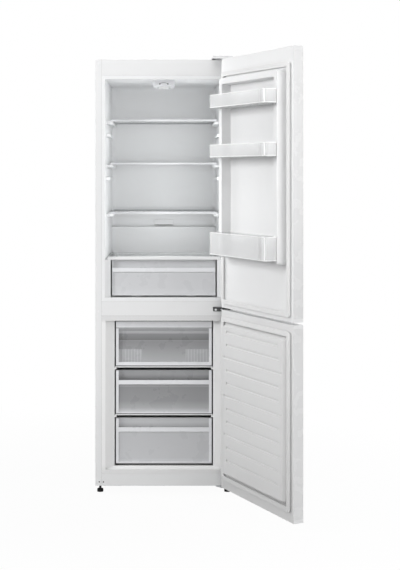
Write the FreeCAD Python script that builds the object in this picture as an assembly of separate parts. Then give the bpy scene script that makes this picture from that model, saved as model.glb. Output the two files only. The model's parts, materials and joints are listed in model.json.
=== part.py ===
import FreeCAD
import Part
import math
import os

V = FreeCAD.Vector

# Bottom freezer refrigerator, free-standing, both doors hung on the right.
# Millimetres. It is modelled about the cabinet's middle plane, X = 0, and behind
# the plane of its front edge, Y = 0, with Z up from the floor. The doors are
# modelled shut and then swung open to the angle they rest at. At the end all of
# it is moved, so that the front left foot stands on the origin.

# ---------------------------------------------------------------- cabinet
PAST = 10.0                   # cutters run this far past a face

WIDTH = 595.0
CABINET_HEIGHT = 1852.0       # without the feet
CABINET_DEPTH = 560.0         # front edge to back panel
FOOT_HEIGHT = 36.0            # floor to underside of the cabinet
SHEET = 0.8                   # pre-painted steel of cabinet and doors
SEAM = 0.4                    # joint line between neighbouring front parts
FRONT_FLANGE = 27.0           # side panel turned in round the front
REAR_FLANGE = 18.0
RAIL_RETURN = 10.0            # lips of the cross rails, turned back
TOP_RAIL = 68.0
CENTRE_RAIL = 62.0
BOTTOM_RAIL = 53.0
SIDE_R = 2.0                  # bend at the cabinet's front edges
BACK_SHEET = 1.0
BASE_SHEET = 1.2

# ---------------------------------------------------------------- liners
LINER = 1.6                   # vacuum-formed sheet
SIDE_WALL = 41.5              # outer side to fridge opening
FRIDGE_FLANGE_TOP = 16.0
FRIDGE_FLANGE_LOW = 17.0
FRIDGE_BACK_WALL = 75.0       # upper back wall to the cabinet's back
BACK_TAPER = 9.0              # each side, front to back
CORNER_R = 22.0
GUTTER_RISE = 288.0           # fridge floor to drip gutter
GUTTER_STEP = 30.0            # lower back wall stands this far forward
GUTTER_WIDTH = 18.0
GUTTER_DEEP = 8.0
GUTTER_SIDE = 20.0            # gutter end to liner side wall
DRAIN_R = 6.0
DRAIN_BUMP = (90.0, 10.0, 22.0)
CRISPER_BAY = 163.0           # height of the narrower bay under the lowest shelf
CRISPER_LEDGE = 24.0          # bay wall to opening edge
BAY_MOUTH = (5.0, 14.0)       # the slanted cheeks run between these depths
LEDGE_THICK = 12.0
LEDGE_IN = 29.0               # shelf ledge stands in from the opening edge
LEDGE_FRONT = 100.0
LEDGE_BACK = 18.0             # ledge end to back wall
LEDGE_CHAMFER = 12.0
SPARE_LEDGE_IN = 17.0
SPARE_BELOW = 56.0            # spare ledge below an upper shelf

FREEZER_FLANGE_LOW = 17.0
FREEZER_OPENING = 647.0
FREEZER_FLANGE_TOP = 22.0
FREEZER_FLANGE_SIDE = 44.0
FREEZER_WALL = 82.5           # outer side to freezer bay
FREEZER_MOUTH = (10.0, 22.0)
FREEZER_SILL = 12.0           # bay floor above the opening's lower edge
FREEZER_BACK_WALL = 120.0
FREEZER_FOOT_WALL = 56.0      # wall between the lowest drawer and the compressor
FREEZER_CORNER_R = 14.0
SHELF_RIB = 8.0               # rib under a freezer shelf, height and stand-out

# ---------------------------------------------------------------- fridge fittings
SHELF_ABOVE_GUTTER = 75.0     # lowest glass above the drip gutter
SHELF_SHARES = (0.0, 0.3714, 0.6985)    # of the way from the lowest glass to the ceiling
GLASS = 4.0
SHELF_GAP = 2.0               # shelf side to the nearest liner wall, at the back
SHELF_FRONT = 92.0
SHELF_BACK = 16.0             # shelf to back wall
TRIM_LIP = 2.0
TRIM_RISE = 7.0
TRIM_DEEP = 14.0
RUNNING = 0.3                 # clearance under what slides or lifts out
COVER_FRONT = 15.0
COVER_BACK = 50.0
COVER_SIDE = 11.0             # cover to opening edge
COVER_TRIM = 13.0
HOUSING = (96.0, 150.0, 26.0)
HOUSING_FRONT = 62.0
HOUSING_EDGE = 5.0
KNOB_R = 22.0
KNOB_THICK = 9.0
KNOB_CHAMFER = 1.5
KNOB_GRIP = (5.0, 35.2, 6.0)
KNOB_SPINDLE_R = 4.0
KNOB_FRONT = 34.0             # housing front to spindle
LENS = (60.0, 58.0, 3.0)

# ---------------------------------------------------------------- drawers
DRAWER_WALL = 2.4
DRAWER_DRAFT = 5.0            # each side, over the drawer's height
DRAWER_R = 8.0
CRISPER_FRONT = 13.0
CRISPER_GAP = 7.5             # crisper to bay wall
CRISPER_BACK = 30.0
CRISPER_TOP_GAP = 3.0
CRISPER_BANDS = (17.0, 32.0)  # grip lip and the recess above it
SKID = 42.0
SKID_OFFSET = 98.0
SKID_HEIGHT = 8.0
SKID_ENDS = (10.0, 20.0)      # skid to the crisper's front and back
LIP_OUT = 4.0                 # grip lip in front of the panel
GRIP_DEEP = 11.0              # finger recess behind the lip
CRISPER_BORDER = (3.0, 3.0)   # raised border at each side and along the bottom
DRAWER_BORDER = (12.0, 9.0)
DRAWER_FRONT = 24.0
DRAWER_GAP = 6.0              # freezer drawer to bay wall
DRAWER_BACK = 14.0
DRAWER_BELOW = 7.0            # lowest drawer front above its own box floor
DRAWER_SHELF_GAP = 13.5       # drawer top to the glass shelf above
FREEZER_SHELF_SHARES = (0.3523, 0.6808)  # of the way from the bay floor to its top
LOWER_BANDS = (18.0, 40.0)
MIDDLE_BANDS = (18.0, 42.0)
UPPER_LEDGE = 18.0
UPPER_SLOPE = 17.0
UPPER_STRIP = 29.0
UPPER_TOP_GAP = 4.0

# ---------------------------------------------------------------- doors
DOOR_THICK = 46.0
DOOR_GAP = 12.0               # cabinet front to door, filled by the gasket
SPLIT_ON_RAIL = 36.0          # middle of the gap between the doors above the centre rail's foot
DOOR_SPLIT_GAP = 10.0
DOOR_UNDER_TOP = 1.0
FREEZER_DOOR_RISE = 3.0       # lower edge above the cabinet's
DOOR_EDGE_R = 4.0
DOOR_LINER = 1.5
CAP = 14.0
GASKET = 20.0
GASKET_SET_IN = 15.5
GASKET_FOOT = 12.0
GASKET_FOOT_DEEP = 5.0
GASKET_CLEAR = 0.6
GASKET_R = 12.0
GASKET_INSIDE_GAP = 5.0       # gasket to the door's raised form
REST_OPEN = 115.0             # both doors rest open at this angle
PIVOT_IN = 15.0               # pivot to the door's side
PIVOT_DEEP = 30.0             # pivot to the door's inner face
PIN_R = 5.0
PIN_LONG = 11.0
PIN_CLEAR = 0.1

DIKE_HEIGHT = 41.0
DIKE_WIDTH = 30.0
DIKE_DRAFT = 3.0
DIKE_SIDE = 11.0              # dike to the fridge opening edge
DIKE_TOP = 5.0                # dike to the opening's upper edge
DIKE_R = 14.0
DIKE_WELL_R = 3.0
DIKE_BOTTOM = 182.0           # dike above the fridge floor
DIKE_RIM_LOW = 13.0           # width of its lower run
PLATEAU_HEIGHT = 20.0
PLATEAU_DRAFT = 12.0
PLATEAU_SIDE = 10.0           # plateau top to the freezer opening edge
PLATEAU_R = 16.0
GROOVES = 11
GROOVE_FIRST = 71.0           # lowest groove above the plateau's foot
GROOVE_LAST = 35.0            # highest groove below its upper end
LONG_GROOVE_EVERY = 3
GROOVE_WIDE = 12.0
GROOVE_DEEP = 4.0
GROOVE_SHORT_IN = 26.0
GROOVE_LONG_IN = 3.0

BIN_DEPTH = 95.0              # door's inner face to bin front
BIN_SIDE = 16.0               # bin to the opening edge
BIN_WALL = 2.2
BIN_R = 20.0
BIN_STEP_R = 2.0
BIN_BACK_R = 4.0
BIN_FLOOR = 3.0
BIN_ON_DIKE = 2.0             # lowest bin above the dike's lower run
BIN_SHARES = (0.8194, 0.5432, 0.0)      # of the way from the lowest bin to the opening's top
BIN_TALL = (57.0, 55.0, 95.0)

# ---------------------------------------------------------------- hinges
PLATE = 3.0
MIDDLE_PLATE = 4.0
COVER_HEIGHT = 12.0
COVER_WALL = 2.0
COVER_FROM_SIDE = 90.0
COVER_LONG = 140.0
COVER_EDGE = 3.0
BRACKET_WIDE = 66.0
BRACKET_BACK = 60.0
PIVOT_MARGIN = 9.0
BRACKET_R = (6.0, 3.0, 8.0)   # corners on the cabinet, at the arm's root and at its tip
BRACKET_SCREWS = (12.0, 34.0) # from the bracket's inner side
MIDDLE_FLANGE = (50.0, 19.0)
MIDDLE_FROM_SIDE = 84.0
MIDDLE_FLANGE_R = 4.0
MIDDLE_SCREW_LOW = 2.0        # screws below the flange's middle
SCREW_R = 3.0
SCREW_HEAD_R = 5.0
SCREW_HEAD = 4.0
SCREW_LONG = 12.0
PLUG_R = 5.0
PLUG_THICK = 1.0
PLUG_IN = 14.0
PLUG_BELOW_TOP = 16.0
PLUG_BELOW_SPLIT = 17.0
SPARE_HOLE_R = 3.0
SPARE_HOLE_PITCH = 18.0
SPARE_HOLE_IN = 17.0
SPARE_HOLE_UP = 16.0
SPARE_HOLE_ROOM = 1.0         # foam kept clear round a spare hole

# ---------------------------------------------------------------- machine bay, back and feet
MACHINE_HEIGHT = 252.0
MACHINE_DEEP = 238.0          # its front wall to the cabinet's back
MACHINE_SLANT = 34.0
PLATE_BACK = 10.0
COMPRESSOR_PLATE = 150.0
COMPRESSOR_PLATE_THICK = 2.0
PLATE_UPSTAND = 16.0
COMPRESSOR_R = 66.0
COMPRESSOR_LOW = 84.0         # lower half shell
COMPRESSOR_DOME = 62.0
COMPRESSOR_X = 92.0
COMPRESSOR_SEAM = (3.0, 4.0)  # stand-out and height of the welded seam
COMPRESSOR_FOOT_R = 14.0
TURNED_STEPS = 5              # straight steps in each of its round stretches
WELD = 1.0                    # shell let into its foot plate
MOUNT_R = 11.0
MOUNT_HIGH = 14.0
MOUNT_SPREAD = (62.0, 44.0)
BOX = (34.0, 62.0, 58.0)
BOX_UP = 18.0
BOX_CHAMFER = 3.0
TRAY = (200.0, 110.0, 26.0)
TRAY_WALL = 2.0
TUBE_R = 8.0
TUBE_WALL = 2.0
TUBE_ABOVE_TRAY = 15.6
CONDENSER_TUBE_R = 2.4
CONDENSER_WIRE = 1.6          # square section
CONDENSER_RUNS = 15
CONDENSER_WIRES = 17
CONDENSER_SIDE = 42.0
CONDENSER_TOP = 70.0
CONDENSER_LOW = 60.0
CONDENSER_STAND = 22.0
CLIP = (22.0, 14.0)
CLIP_OVER = 2.0               # clip beyond the tube
FOOT_R = 13.5
FOOT_PAD = 13.0
FOOT_CHAMFER = 2.0
STEM_R = 5.0
STEM_CLEAR = 0.3
FOOT_IN = 19.0
FOOT_BACK = 45.0
NUT_R = 9.0
NUT_HIGH = 24.0
NUT_ROOF = 2.5
ROLLER_R = 17.0
ROLLER_WIDE = 22.0
ROLLER_IN = 44.0
ROLLER_BACK = 60.0
ROLLER_CHAMFER = 1.0
AXLE_R = 4.0
FORK = 2.5
FORK_CLEAR = 0.5
FORK_HALF = 12.0
FORK_BELOW_AXLE = 8.0

# ---------------------------------------------------------------- derived places
HALF = WIDTH / 2
BASE_Z = FOOT_HEIGHT
TOP_Z = BASE_Z + CABINET_HEIGHT
INNER = HALF - SHEET
FRAME_HALF = HALF - FRONT_FLANGE - SEAM
BOTTOM_RAIL_TOP = BASE_Z + BOTTOM_RAIL
FREEZER_LOW = BOTTOM_RAIL_TOP + FREEZER_FLANGE_LOW
FREEZER_FLOOR = FREEZER_LOW + FREEZER_SILL
FREEZER_TOP = FREEZER_LOW + FREEZER_OPENING
CENTRE_RAIL_LOW = FREEZER_TOP + FREEZER_FLANGE_TOP
CENTRE_RAIL_TOP = CENTRE_RAIL_LOW + CENTRE_RAIL
FRIDGE_FLOOR = CENTRE_RAIL_TOP + FRIDGE_FLANGE_LOW
TOP_RAIL_LOW = TOP_Z - TOP_RAIL
FRIDGE_TOP = TOP_RAIL_LOW - FRIDGE_FLANGE_TOP
FRIDGE_DEPTH = CABINET_DEPTH - FRIDGE_BACK_WALL
OPENING = HALF - SIDE_WALL
BACK_HALF = OPENING - BACK_TAPER
BAY_HALF = OPENING - CRISPER_LEDGE
BAY_TOP = FRIDGE_FLOOR + CRISPER_BAY
GUTTER_Z = FRIDGE_FLOOR + GUTTER_RISE
LOWER_BACK = FRIDGE_DEPTH - GUTTER_STEP
LOW_GLASS = GUTTER_Z + SHELF_ABOVE_GUTTER
GLASS_LOWS = tuple(LOW_GLASS + share * (FRIDGE_TOP - LOW_GLASS) for share in SHELF_SHARES)
FREEZER_OPEN_HALF = HALF - FREEZER_FLANGE_SIDE
FREEZER_HALF = HALF - FREEZER_WALL
MACHINE_FRONT = CABINET_DEPTH - MACHINE_DEEP
FREEZER_DEPTH = CABINET_DEPTH - FREEZER_BACK_WALL
FREEZER_FOOT_DEPTH = MACHINE_FRONT - FREEZER_FOOT_WALL
SHELF_TOPS = tuple(FREEZER_FLOOR + share * (FREEZER_TOP - FREEZER_FLOOR)
                   for share in FREEZER_SHELF_SHARES)
STEP_FLOOR = SHELF_TOPS[0] - GLASS - RUNNING
MACHINE_TOP = BASE_Z + MACHINE_HEIGHT
DOOR_IN = -DOOR_GAP
DOOR_OUT = -DOOR_GAP - DOOR_THICK
DOOR_SPLIT = CENTRE_RAIL_LOW + SPLIT_ON_RAIL
PIVOT = V(HALF - PIVOT_IN, DOOR_IN - PIVOT_DEEP, 0)
FRIDGE_DOOR_LOW = DOOR_SPLIT + DOOR_SPLIT_GAP / 2
FRIDGE_DOOR_TOP = TOP_Z - DOOR_UNDER_TOP
FREEZER_DOOR_LOW = BASE_Z + FREEZER_DOOR_RISE
FREEZER_DOOR_TOP = DOOR_SPLIT - DOOR_SPLIT_GAP / 2
LOW_BIN = FRIDGE_FLOOR + DIKE_BOTTOM + DIKE_RIM_LOW + BIN_ON_DIKE
BIN_LOWS = tuple(LOW_BIN + share * (FRIDGE_TOP - LOW_BIN) for share in BIN_SHARES)
TO_ORIGIN = V(HALF - FOOT_IN, -FOOT_BACK, 0)

NODES = {}


def keep(name, *shapes):
    """Files one node, made of one or more separate solids."""
    NODES[name] = [solid for shape in shapes for solid in shape.Solids]


# ---------------------------------------------------------------- shape helpers
def block(x, y, z):
    """A box between two values on each axis."""
    return Part.makeBox(x[1] - x[0], y[1] - y[0], z[1] - z[0], V(x[0], y[0], z[0]))


def rod(radius, start, end):
    """A round bar between two points."""
    along = end - start
    return Part.makeCylinder(radius, along.Length, start, along)


def tube(radius, bore, start, end):
    return rod(radius, start, end).cut(rod(bore, start, end))


def wire(points):
    """A closed outline. A point is (a, b), or (a, b, r) for a corner of radius r."""
    count = len(points)
    ends = []
    for i, point in enumerate(points):
        here = V(point[0], point[1], 0)
        radius = point[2] if len(point) > 2 else 0
        if radius <= 0:
            ends.append((here, here, here))
            continue
        before = V(points[i - 1][0], points[i - 1][1], 0) - here
        after = V(points[(i + 1) % count][0], points[(i + 1) % count][1], 0) - here
        half = before.getAngle(after) / 2
        reach = radius / math.tan(half)
        before.normalize()
        after.normalize()
        middle = before + after
        middle.normalize()
        bulge = here + middle * (radius / math.sin(half) - radius)
        ends.append((here + before * reach, bulge, here + after * reach))
    edges = []
    for i, (start, bulge, end) in enumerate(ends):
        if start != end:
            edges.append(Part.Arc(start, bulge, end).toShape())
        onward = ends[(i + 1) % count][0]
        if (onward - end).Length > 1e-6:
            edges.append(Part.LineSegment(end, onward).toShape())
    return Part.Wire(edges)


def grown(outline, by):
    return outline if by == 0 else outline.makeOffset2D(by, 2)


def upright(outline, low, high):
    """An outline in X and Y, raised from low to high."""
    shape = Part.Face(outline).extrude(V(0, 0, high - low))
    shape.translate(V(0, 0, low))
    return shape


def across(outline, left, right):
    """An outline in Y and Z, run along X."""
    face = Part.Face(outline)
    face.rotate(V(0, 0, 0), V(1, 1, 1), 120)
    shape = face.extrude(V(right - left, 0, 0))
    shape.translate(V(left, 0, 0))
    return shape


def inward(outline, start, end):
    """An outline in X and Z, run along Y."""
    face = Part.Face(outline)
    face.rotate(V(0, 0, 0), V(1, 0, 0), 90)
    shape = face.extrude(V(0, end - start, 0))
    shape.translate(V(0, start, 0))
    return shape


def corners(half, low, high, radius):
    """A rounded rectangle's points in X and Z."""
    return [(-half, low, radius), (half, low, radius), (half, high, radius), (-half, high, radius)]


def frame_wire(half, low, high, radius, y):
    """A rounded rectangle in X and Z at depth y."""
    outline = wire(corners(half, low, high, radius))
    outline.rotate(V(0, 0, 0), V(1, 0, 0), 90)
    outline.translate(V(0, y, 0))
    return outline


def frustum(half, low, high, radius, y0, y1, draft):
    """A rounded rectangle at y0 that is smaller by the draft all round at y1."""
    near = frame_wire(half, low, high, radius, y0)
    far = frame_wire(half - draft, low + draft, high - draft, max(radius - draft, 1.0), y1)
    return Part.makeLoft([near, far], True, True)


def bent(points, thick):
    """The outline of a sheet of one thickness that follows points and lies to their left."""
    moved = []
    for i, point in enumerate(points):
        here = V(point[0], point[1], 0)
        sides = []
        for first, second in ((i - 1, i), (i, i + 1)):
            if first < 0 or second >= len(points):
                continue
            run = V(points[second][0] - points[first][0], points[second][1] - points[first][1], 0)
            run.normalize()
            sides.append(V(-run.y, run.x, 0))
        normal = sides[0] if len(sides) == 1 else sides[0] + sides[1]
        normal = normal * (1 / (normal.dot(sides[0])))
        moved.append(here + normal * thick)
    return wire(list(points) + [(p.x, p.y) for p in reversed(moved)])


def mirrored(shape):
    return shape.mirror(V(0, 0, 0), V(1, 0, 0))


def fuse(first, *others):
    return first.fuse(list(others)).removeSplitter()


def swing(shape):
    """Turns a shut door piece about the hinge line to the rest angle."""
    shape = shape.copy()
    shape.rotate(PIVOT, V(0, 0, 1), REST_OPEN)
    return shape


# ---------------------------------------------------------------- liners
def fridge_room(by):
    """The fridge compartment, or its outside when grown by the sheet."""
    upper = wire([(-OPENING, 0), (OPENING, 0), (BACK_HALF, FRIDGE_DEPTH, CORNER_R),
                  (-BACK_HALF, FRIDGE_DEPTH, CORNER_R)])
    lower = wire([(-OPENING, 0), (OPENING, 0), (OPENING, BAY_MOUTH[0]), (BAY_HALF, BAY_MOUTH[1]),
                  (BAY_HALF, FRIDGE_DEPTH), (-BAY_HALF, FRIDGE_DEPTH), (-BAY_HALF, BAY_MOUTH[1]),
                  (-OPENING, BAY_MOUTH[0])])
    side = wire([(0, FRIDGE_FLOOR), (LOWER_BACK, FRIDGE_FLOOR, CORNER_R), (LOWER_BACK, GUTTER_Z),
                 (FRIDGE_DEPTH, GUTTER_Z), (FRIDGE_DEPTH, FRIDGE_TOP, CORNER_R), (0, FRIDGE_TOP)])
    room = upright(grown(upper, by), BAY_TOP - by, FRIDGE_TOP + by)
    room = room.fuse(upright(grown(lower, by), FRIDGE_FLOOR - by, BAY_TOP))
    room = room.common(across(grown(side, by), -OPENING - by, OPENING + by))
    for low in GLASS_LOWS:
        room = room.cut(shelf_ledges(ledge_top(low), LEDGE_IN, by))
    for low in GLASS_LOWS[1:]:
        room = room.cut(shelf_ledges(ledge_top(low) - SPARE_BELOW, SPARE_LEDGE_IN, by))
    return room


def ledge_top(glass_low):
    return glass_low - TRIM_LIP - RUNNING


def shelf_ledges(top, stand_in, by):
    """The pair of ledges, left and right, that a glass shelf lies on."""
    tip = OPENING - stand_in + by
    front = LEDGE_FRONT + by
    back = FRIDGE_DEPTH - LEDGE_BACK - by
    outline = wire([(OPENING + PAST, front), (tip + LEDGE_CHAMFER, front), (tip, front + LEDGE_CHAMFER),
                    (tip, back), (OPENING + PAST, back)])
    right = upright(outline, top - LEDGE_THICK + by, top - by)
    return right.fuse(mirrored(right))


def freezer_room(by):
    """The freezer compartment with its slanted mouth and the step over the compressor."""
    plan = wire([(-FREEZER_OPEN_HALF, 0), (FREEZER_OPEN_HALF, 0), (FREEZER_OPEN_HALF, FREEZER_MOUTH[0]),
                 (FREEZER_HALF, FREEZER_MOUTH[1]), (FREEZER_HALF, FREEZER_DEPTH, FREEZER_CORNER_R),
                 (-FREEZER_HALF, FREEZER_DEPTH, FREEZER_CORNER_R), (-FREEZER_HALF, FREEZER_MOUTH[1]),
                 (-FREEZER_OPEN_HALF, FREEZER_MOUTH[0])])
    side = wire([(0, FREEZER_LOW), (FREEZER_MOUTH[0], FREEZER_LOW), (FREEZER_MOUTH[1], FREEZER_FLOOR),
                 (FREEZER_FOOT_DEPTH, FREEZER_FLOOR, FREEZER_CORNER_R),
                 (FREEZER_FOOT_DEPTH, STEP_FLOOR - MACHINE_SLANT),
                 (FREEZER_FOOT_DEPTH + MACHINE_SLANT, STEP_FLOOR), (FREEZER_DEPTH, STEP_FLOOR),
                 (FREEZER_DEPTH, FREEZER_TOP), (0, FREEZER_TOP)])
    room = upright(grown(plan, by), FREEZER_LOW - by, FREEZER_TOP + by)
    room = room.common(across(grown(side, by), -FREEZER_OPEN_HALF - by, FREEZER_OPEN_HALF + by))
    rib_back = FREEZER_FOOT_DEPTH - FREEZER_CORNER_R
    for top in SHELF_TOPS:
        rib_top = top - GLASS - RUNNING
        rib = block((FREEZER_HALF - SHELF_RIB + by, FREEZER_HALF + PAST),
                    (FREEZER_MOUTH[1] + by, rib_back - by), (rib_top - SHELF_RIB + by, rib_top - by))
        room = room.cut(rib.fuse(mirrored(rib)))
    return room


def liner_flange(low, high, half):
    return block((-half, half), (0, LINER), (low, high))


def behind_front(shape):
    """The part of a shape that lies behind the cabinet's front plane."""
    return shape.common(block((-WIDTH, WIDTH), (0, 2 * CABINET_DEPTH), (0, 2 * TOP_Z)))


def gutter(by):
    """The drip channel along the step of the back wall."""
    middle = LOWER_BACK + GUTTER_STEP / 2
    half = BACK_HALF - GUTTER_SIDE + by
    wide = GUTTER_WIDTH / 2 + by
    return block((-half, half), (middle - wide, middle + wide),
                 (GUTTER_Z - GUTTER_DEEP - by, GUTTER_Z + LINER))


def drain_bump(by):
    """The raised cover over the drain, pressed out of the back wall."""
    wide, deep, high = DRAIN_BUMP
    return block((-wide / 2 + by, wide / 2 - by), (FRIDGE_DEPTH - deep + by, FRIDGE_DEPTH + LINER),
                 (GUTTER_Z + high / 2, GUTTER_Z + high * 1.5 - by))


def make_liners():
    drain_y = LOWER_BACK + GUTTER_STEP / 2
    drain_low = GUTTER_Z - GUTTER_DEEP - LINER
    drain = rod(DRAIN_R, V(0, drain_y, drain_low), V(0, drain_y, GUTTER_Z))
    fridge_out = behind_front(fridge_room(LINER).fuse(gutter(LINER)).cut(drain_bump(LINER)))
    fridge_in = fridge_room(0).fuse(gutter(0)).cut(drain_bump(0))
    flange = liner_flange(CENTRE_RAIL_TOP + SEAM, TOP_RAIL_LOW - SEAM, FRAME_HALF)
    fridge = fridge_out.fuse(flange).cut(fridge_in).cut(drain)
    keep("fridge_liner", fridge.removeSplitter())
    freezer_out = behind_front(freezer_room(LINER))
    flange = liner_flange(BOTTOM_RAIL_TOP + SEAM, CENTRE_RAIL_LOW - SEAM, FRAME_HALF)
    freezer = freezer_out.fuse(flange).cut(freezer_room(0))
    keep("freezer_liner", freezer.removeSplitter())
    return fridge_out, freezer_out


# ---------------------------------------------------------------- cabinet shell
def side_panel():
    """The right side: a steel sheet folded in at the front and the back."""
    outline = wire([(HALF, 0, SIDE_R), (HALF, CABINET_DEPTH), (HALF - REAR_FLANGE, CABINET_DEPTH),
                    (HALF - REAR_FLANGE, CABINET_DEPTH - SHEET), (INNER, CABINET_DEPTH - SHEET),
                    (INNER, SHEET), (HALF - FRONT_FLANGE, SHEET), (HALF - FRONT_FLANGE, 0)])
    return upright(outline, BASE_Z, TOP_Z)


def cross_rail(low, high):
    """A front rail: a channel with its lips turned back."""
    outline = wire([(0, low), (RAIL_RETURN, low), (RAIL_RETURN, low + SHEET), (SHEET, low + SHEET),
                    (SHEET, high - SHEET), (RAIL_RETURN, high - SHEET), (RAIL_RETURN, high), (0, high)])
    return across(outline, -FRAME_HALF, FRAME_HALF)


def machine_profile():
    return [(SHEET, BASE_Z), (MACHINE_FRONT, BASE_Z), (MACHINE_FRONT, MACHINE_TOP - MACHINE_SLANT),
            (MACHINE_FRONT + MACHINE_SLANT, MACHINE_TOP), (CABINET_DEPTH - SHEET, MACHINE_TOP)]


def spare_hole_places():
    x = -HALF + SPARE_HOLE_IN
    return [V(x + i * SPARE_HOLE_PITCH, 0, BASE_Z + SPARE_HOLE_UP) for i in range(2)]


def make_shell(fridge_out, freezer_out):
    """The folded sheets and rails; gives back the foam that fills the space between them."""
    right = side_panel()
    left = mirrored(right)
    bottom_rail = cross_rail(BASE_Z + BASE_SHEET, BOTTOM_RAIL_TOP)
    for place in spare_hole_places():
        hole = rod(SPARE_HOLE_R, place, place + V(0, SHEET, 0))
        left = left.cut(hole)
        bottom_rail = bottom_rail.cut(hole)
    keep("side_panel_right", right)
    keep("side_panel_left", left)
    top = block((-INNER, INNER), (SHEET, CABINET_DEPTH - SHEET), (TOP_Z - SHEET, TOP_Z))
    keep("top_panel", top)
    back = block((-INNER, INNER), (CABINET_DEPTH - SHEET - BACK_SHEET, CABINET_DEPTH - SHEET),
                 (MACHINE_TOP + BASE_SHEET, TOP_Z - SHEET))
    keep("back_panel", back)
    top_rail = cross_rail(TOP_RAIL_LOW, TOP_Z - SHEET)
    centre_rail = cross_rail(CENTRE_RAIL_LOW, CENTRE_RAIL_TOP)
    keep("top_rail", top_rail)
    keep("centre_rail", centre_rail)
    keep("bottom_rail", bottom_rail)
    base = across(bent(machine_profile(), BASE_SHEET), -INNER, INNER)
    nuts = []
    for x in (-HALF + FOOT_IN, HALF - FOOT_IN):
        low = V(x, FOOT_BACK, BASE_Z)
        nuts.append(rod(NUT_R, low, low + V(0, 0, NUT_HIGH)))
        base = base.fuse(nuts[-1])
        base = base.cut(rod(STEM_R + STEM_CLEAR, low, low + V(0, 0, NUT_HIGH - NUT_ROOF)))
    keep("base_panel", base.removeSplitter())
    keep_clear = [rod(SPARE_HOLE_R + SPARE_HOLE_ROOM, place, place + V(0, SCREW_LONG, 0))
                  for place in spare_hole_places()]
    room = block((-INNER, INNER), (LINER, CABINET_DEPTH - SHEET - BACK_SHEET), (BASE_Z, TOP_Z - SHEET))
    under = wire([(MACHINE_FRONT - BASE_SHEET, 0), (2 * CABINET_DEPTH, 0),
                  (2 * CABINET_DEPTH, MACHINE_TOP + BASE_SHEET),
                  (MACHINE_FRONT + MACHINE_SLANT - BASE_SHEET / 2, MACHINE_TOP + BASE_SHEET),
                  (MACHINE_FRONT - BASE_SHEET, MACHINE_TOP - MACHINE_SLANT + BASE_SHEET / 2)])
    foam = room.cut(across(under, -WIDTH, WIDTH))
    foam = foam.cut([fridge_out, freezer_out, base, top_rail, centre_rail, bottom_rail] + nuts + keep_clear)
    for low, high in ((BASE_Z, BOTTOM_RAIL_TOP), (CENTRE_RAIL_LOW, CENTRE_RAIL_TOP), (TOP_RAIL_LOW, TOP_Z)):
        foam = foam.cut(block((-FRAME_HALF, FRAME_HALF), (0, RAIL_RETURN), (low, high)))
    return foam


# ---------------------------------------------------------------- fridge fittings
def shelf_half():
    """Half the width of a glass shelf: it clears the liner at the back."""
    back = FRIDGE_DEPTH - SHELF_BACK
    wall = OPENING - BACK_TAPER * back / FRIDGE_DEPTH
    return wall - SHELF_GAP - CORNER_R / 2


def trim_bar(front, half, low, high, lip, glass_low, deep):
    """A moulded bar along a glass edge, slotted for the glass."""
    bar = block((-half, half), (front, front + deep), (low, high))
    slot = block((-half, half), (front + lip, front + deep), (glass_low, glass_low + GLASS))
    return bar.cut(slot)


def make_shelves():
    half = shelf_half()
    back = FRIDGE_DEPTH - SHELF_BACK
    for number, low in enumerate(reversed(GLASS_LOWS), 1):
        glass = block((-half, half), (SHELF_FRONT + TRIM_LIP, back - TRIM_LIP), (low, low + GLASS))
        front = trim_bar(SHELF_FRONT, half, low - TRIM_LIP, low + TRIM_RISE, TRIM_LIP, low, TRIM_DEEP)
        rear = trim_bar(-back, half, low - TRIM_LIP, low + TRIM_RISE, TRIM_LIP, low, TRIM_DEEP)
        rear = rear.mirror(V(0, 0, 0), V(0, 1, 0))
        keep("shelf_glass_%d" % number, glass)
        keep("shelf_trim_%d" % number, front, rear)
    cover_half = OPENING - COVER_SIDE
    low = BAY_TOP + TRIM_LIP + RUNNING
    cover_back = FRIDGE_DEPTH - GUTTER_STEP - COVER_BACK
    glass = block((-cover_half, cover_half), (COVER_FRONT + TRIM_LIP, cover_back), (low, low + GLASS))
    trim_low = low - TRIM_LIP
    trim = trim_bar(COVER_FRONT, cover_half, trim_low, trim_low + COVER_TRIM, TRIM_LIP, low, TRIM_DEEP)
    keep("crisper_cover_glass", glass)
    keep("crisper_cover_trim", trim)


def make_lamp():
    """The lamp and thermostat housing under the fridge ceiling, its lens and its knob."""
    wide, deep, high = HOUSING
    low = FRIDGE_TOP - high
    shell = block((-wide / 2, wide / 2), (HOUSING_FRONT, HOUSING_FRONT + deep), (low, FRIDGE_TOP))
    rounded = [e for e in shell.Edges if abs(e.CenterOfMass.z - FRIDGE_TOP) > 1]
    shell = shell.makeChamfer(HOUSING_EDGE, rounded)
    lens_wide, lens_deep, lens_thick = LENS
    lens_back = HOUSING_FRONT + deep - HOUSING_EDGE - RUNNING
    lens = block((-lens_wide / 2, lens_wide / 2), (lens_back - lens_deep, lens_back), (low, low + lens_thick))
    shell = shell.cut(lens)
    spindle_y = HOUSING_FRONT + KNOB_FRONT
    bore = rod(KNOB_SPINDLE_R + PIN_CLEAR, V(0, spindle_y, low), V(0, spindle_y, low + high / 2))
    keep("lamp_housing", shell.cut(bore))
    keep("lamp_lens", lens)
    disc_low = low - RUNNING - KNOB_THICK
    disc = rod(KNOB_R, V(0, spindle_y, disc_low), V(0, spindle_y, low - RUNNING))
    disc = disc.makeChamfer(KNOB_CHAMFER, [e for e in disc.Edges if abs(e.CenterOfMass.z - disc_low) < 0.1])
    grip_wide, grip_long, grip_high = KNOB_GRIP
    grip = block((-grip_wide / 2, grip_wide / 2), (spindle_y - grip_long / 2, spindle_y + grip_long / 2),
                 (disc_low - grip_high, disc_low))
    spindle = rod(KNOB_SPINDLE_R, V(0, spindle_y, low - RUNNING), V(0, spindle_y, low + high / 2 - RUNNING))
    keep("thermostat_knob", fuse(disc, grip, spindle))


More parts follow.
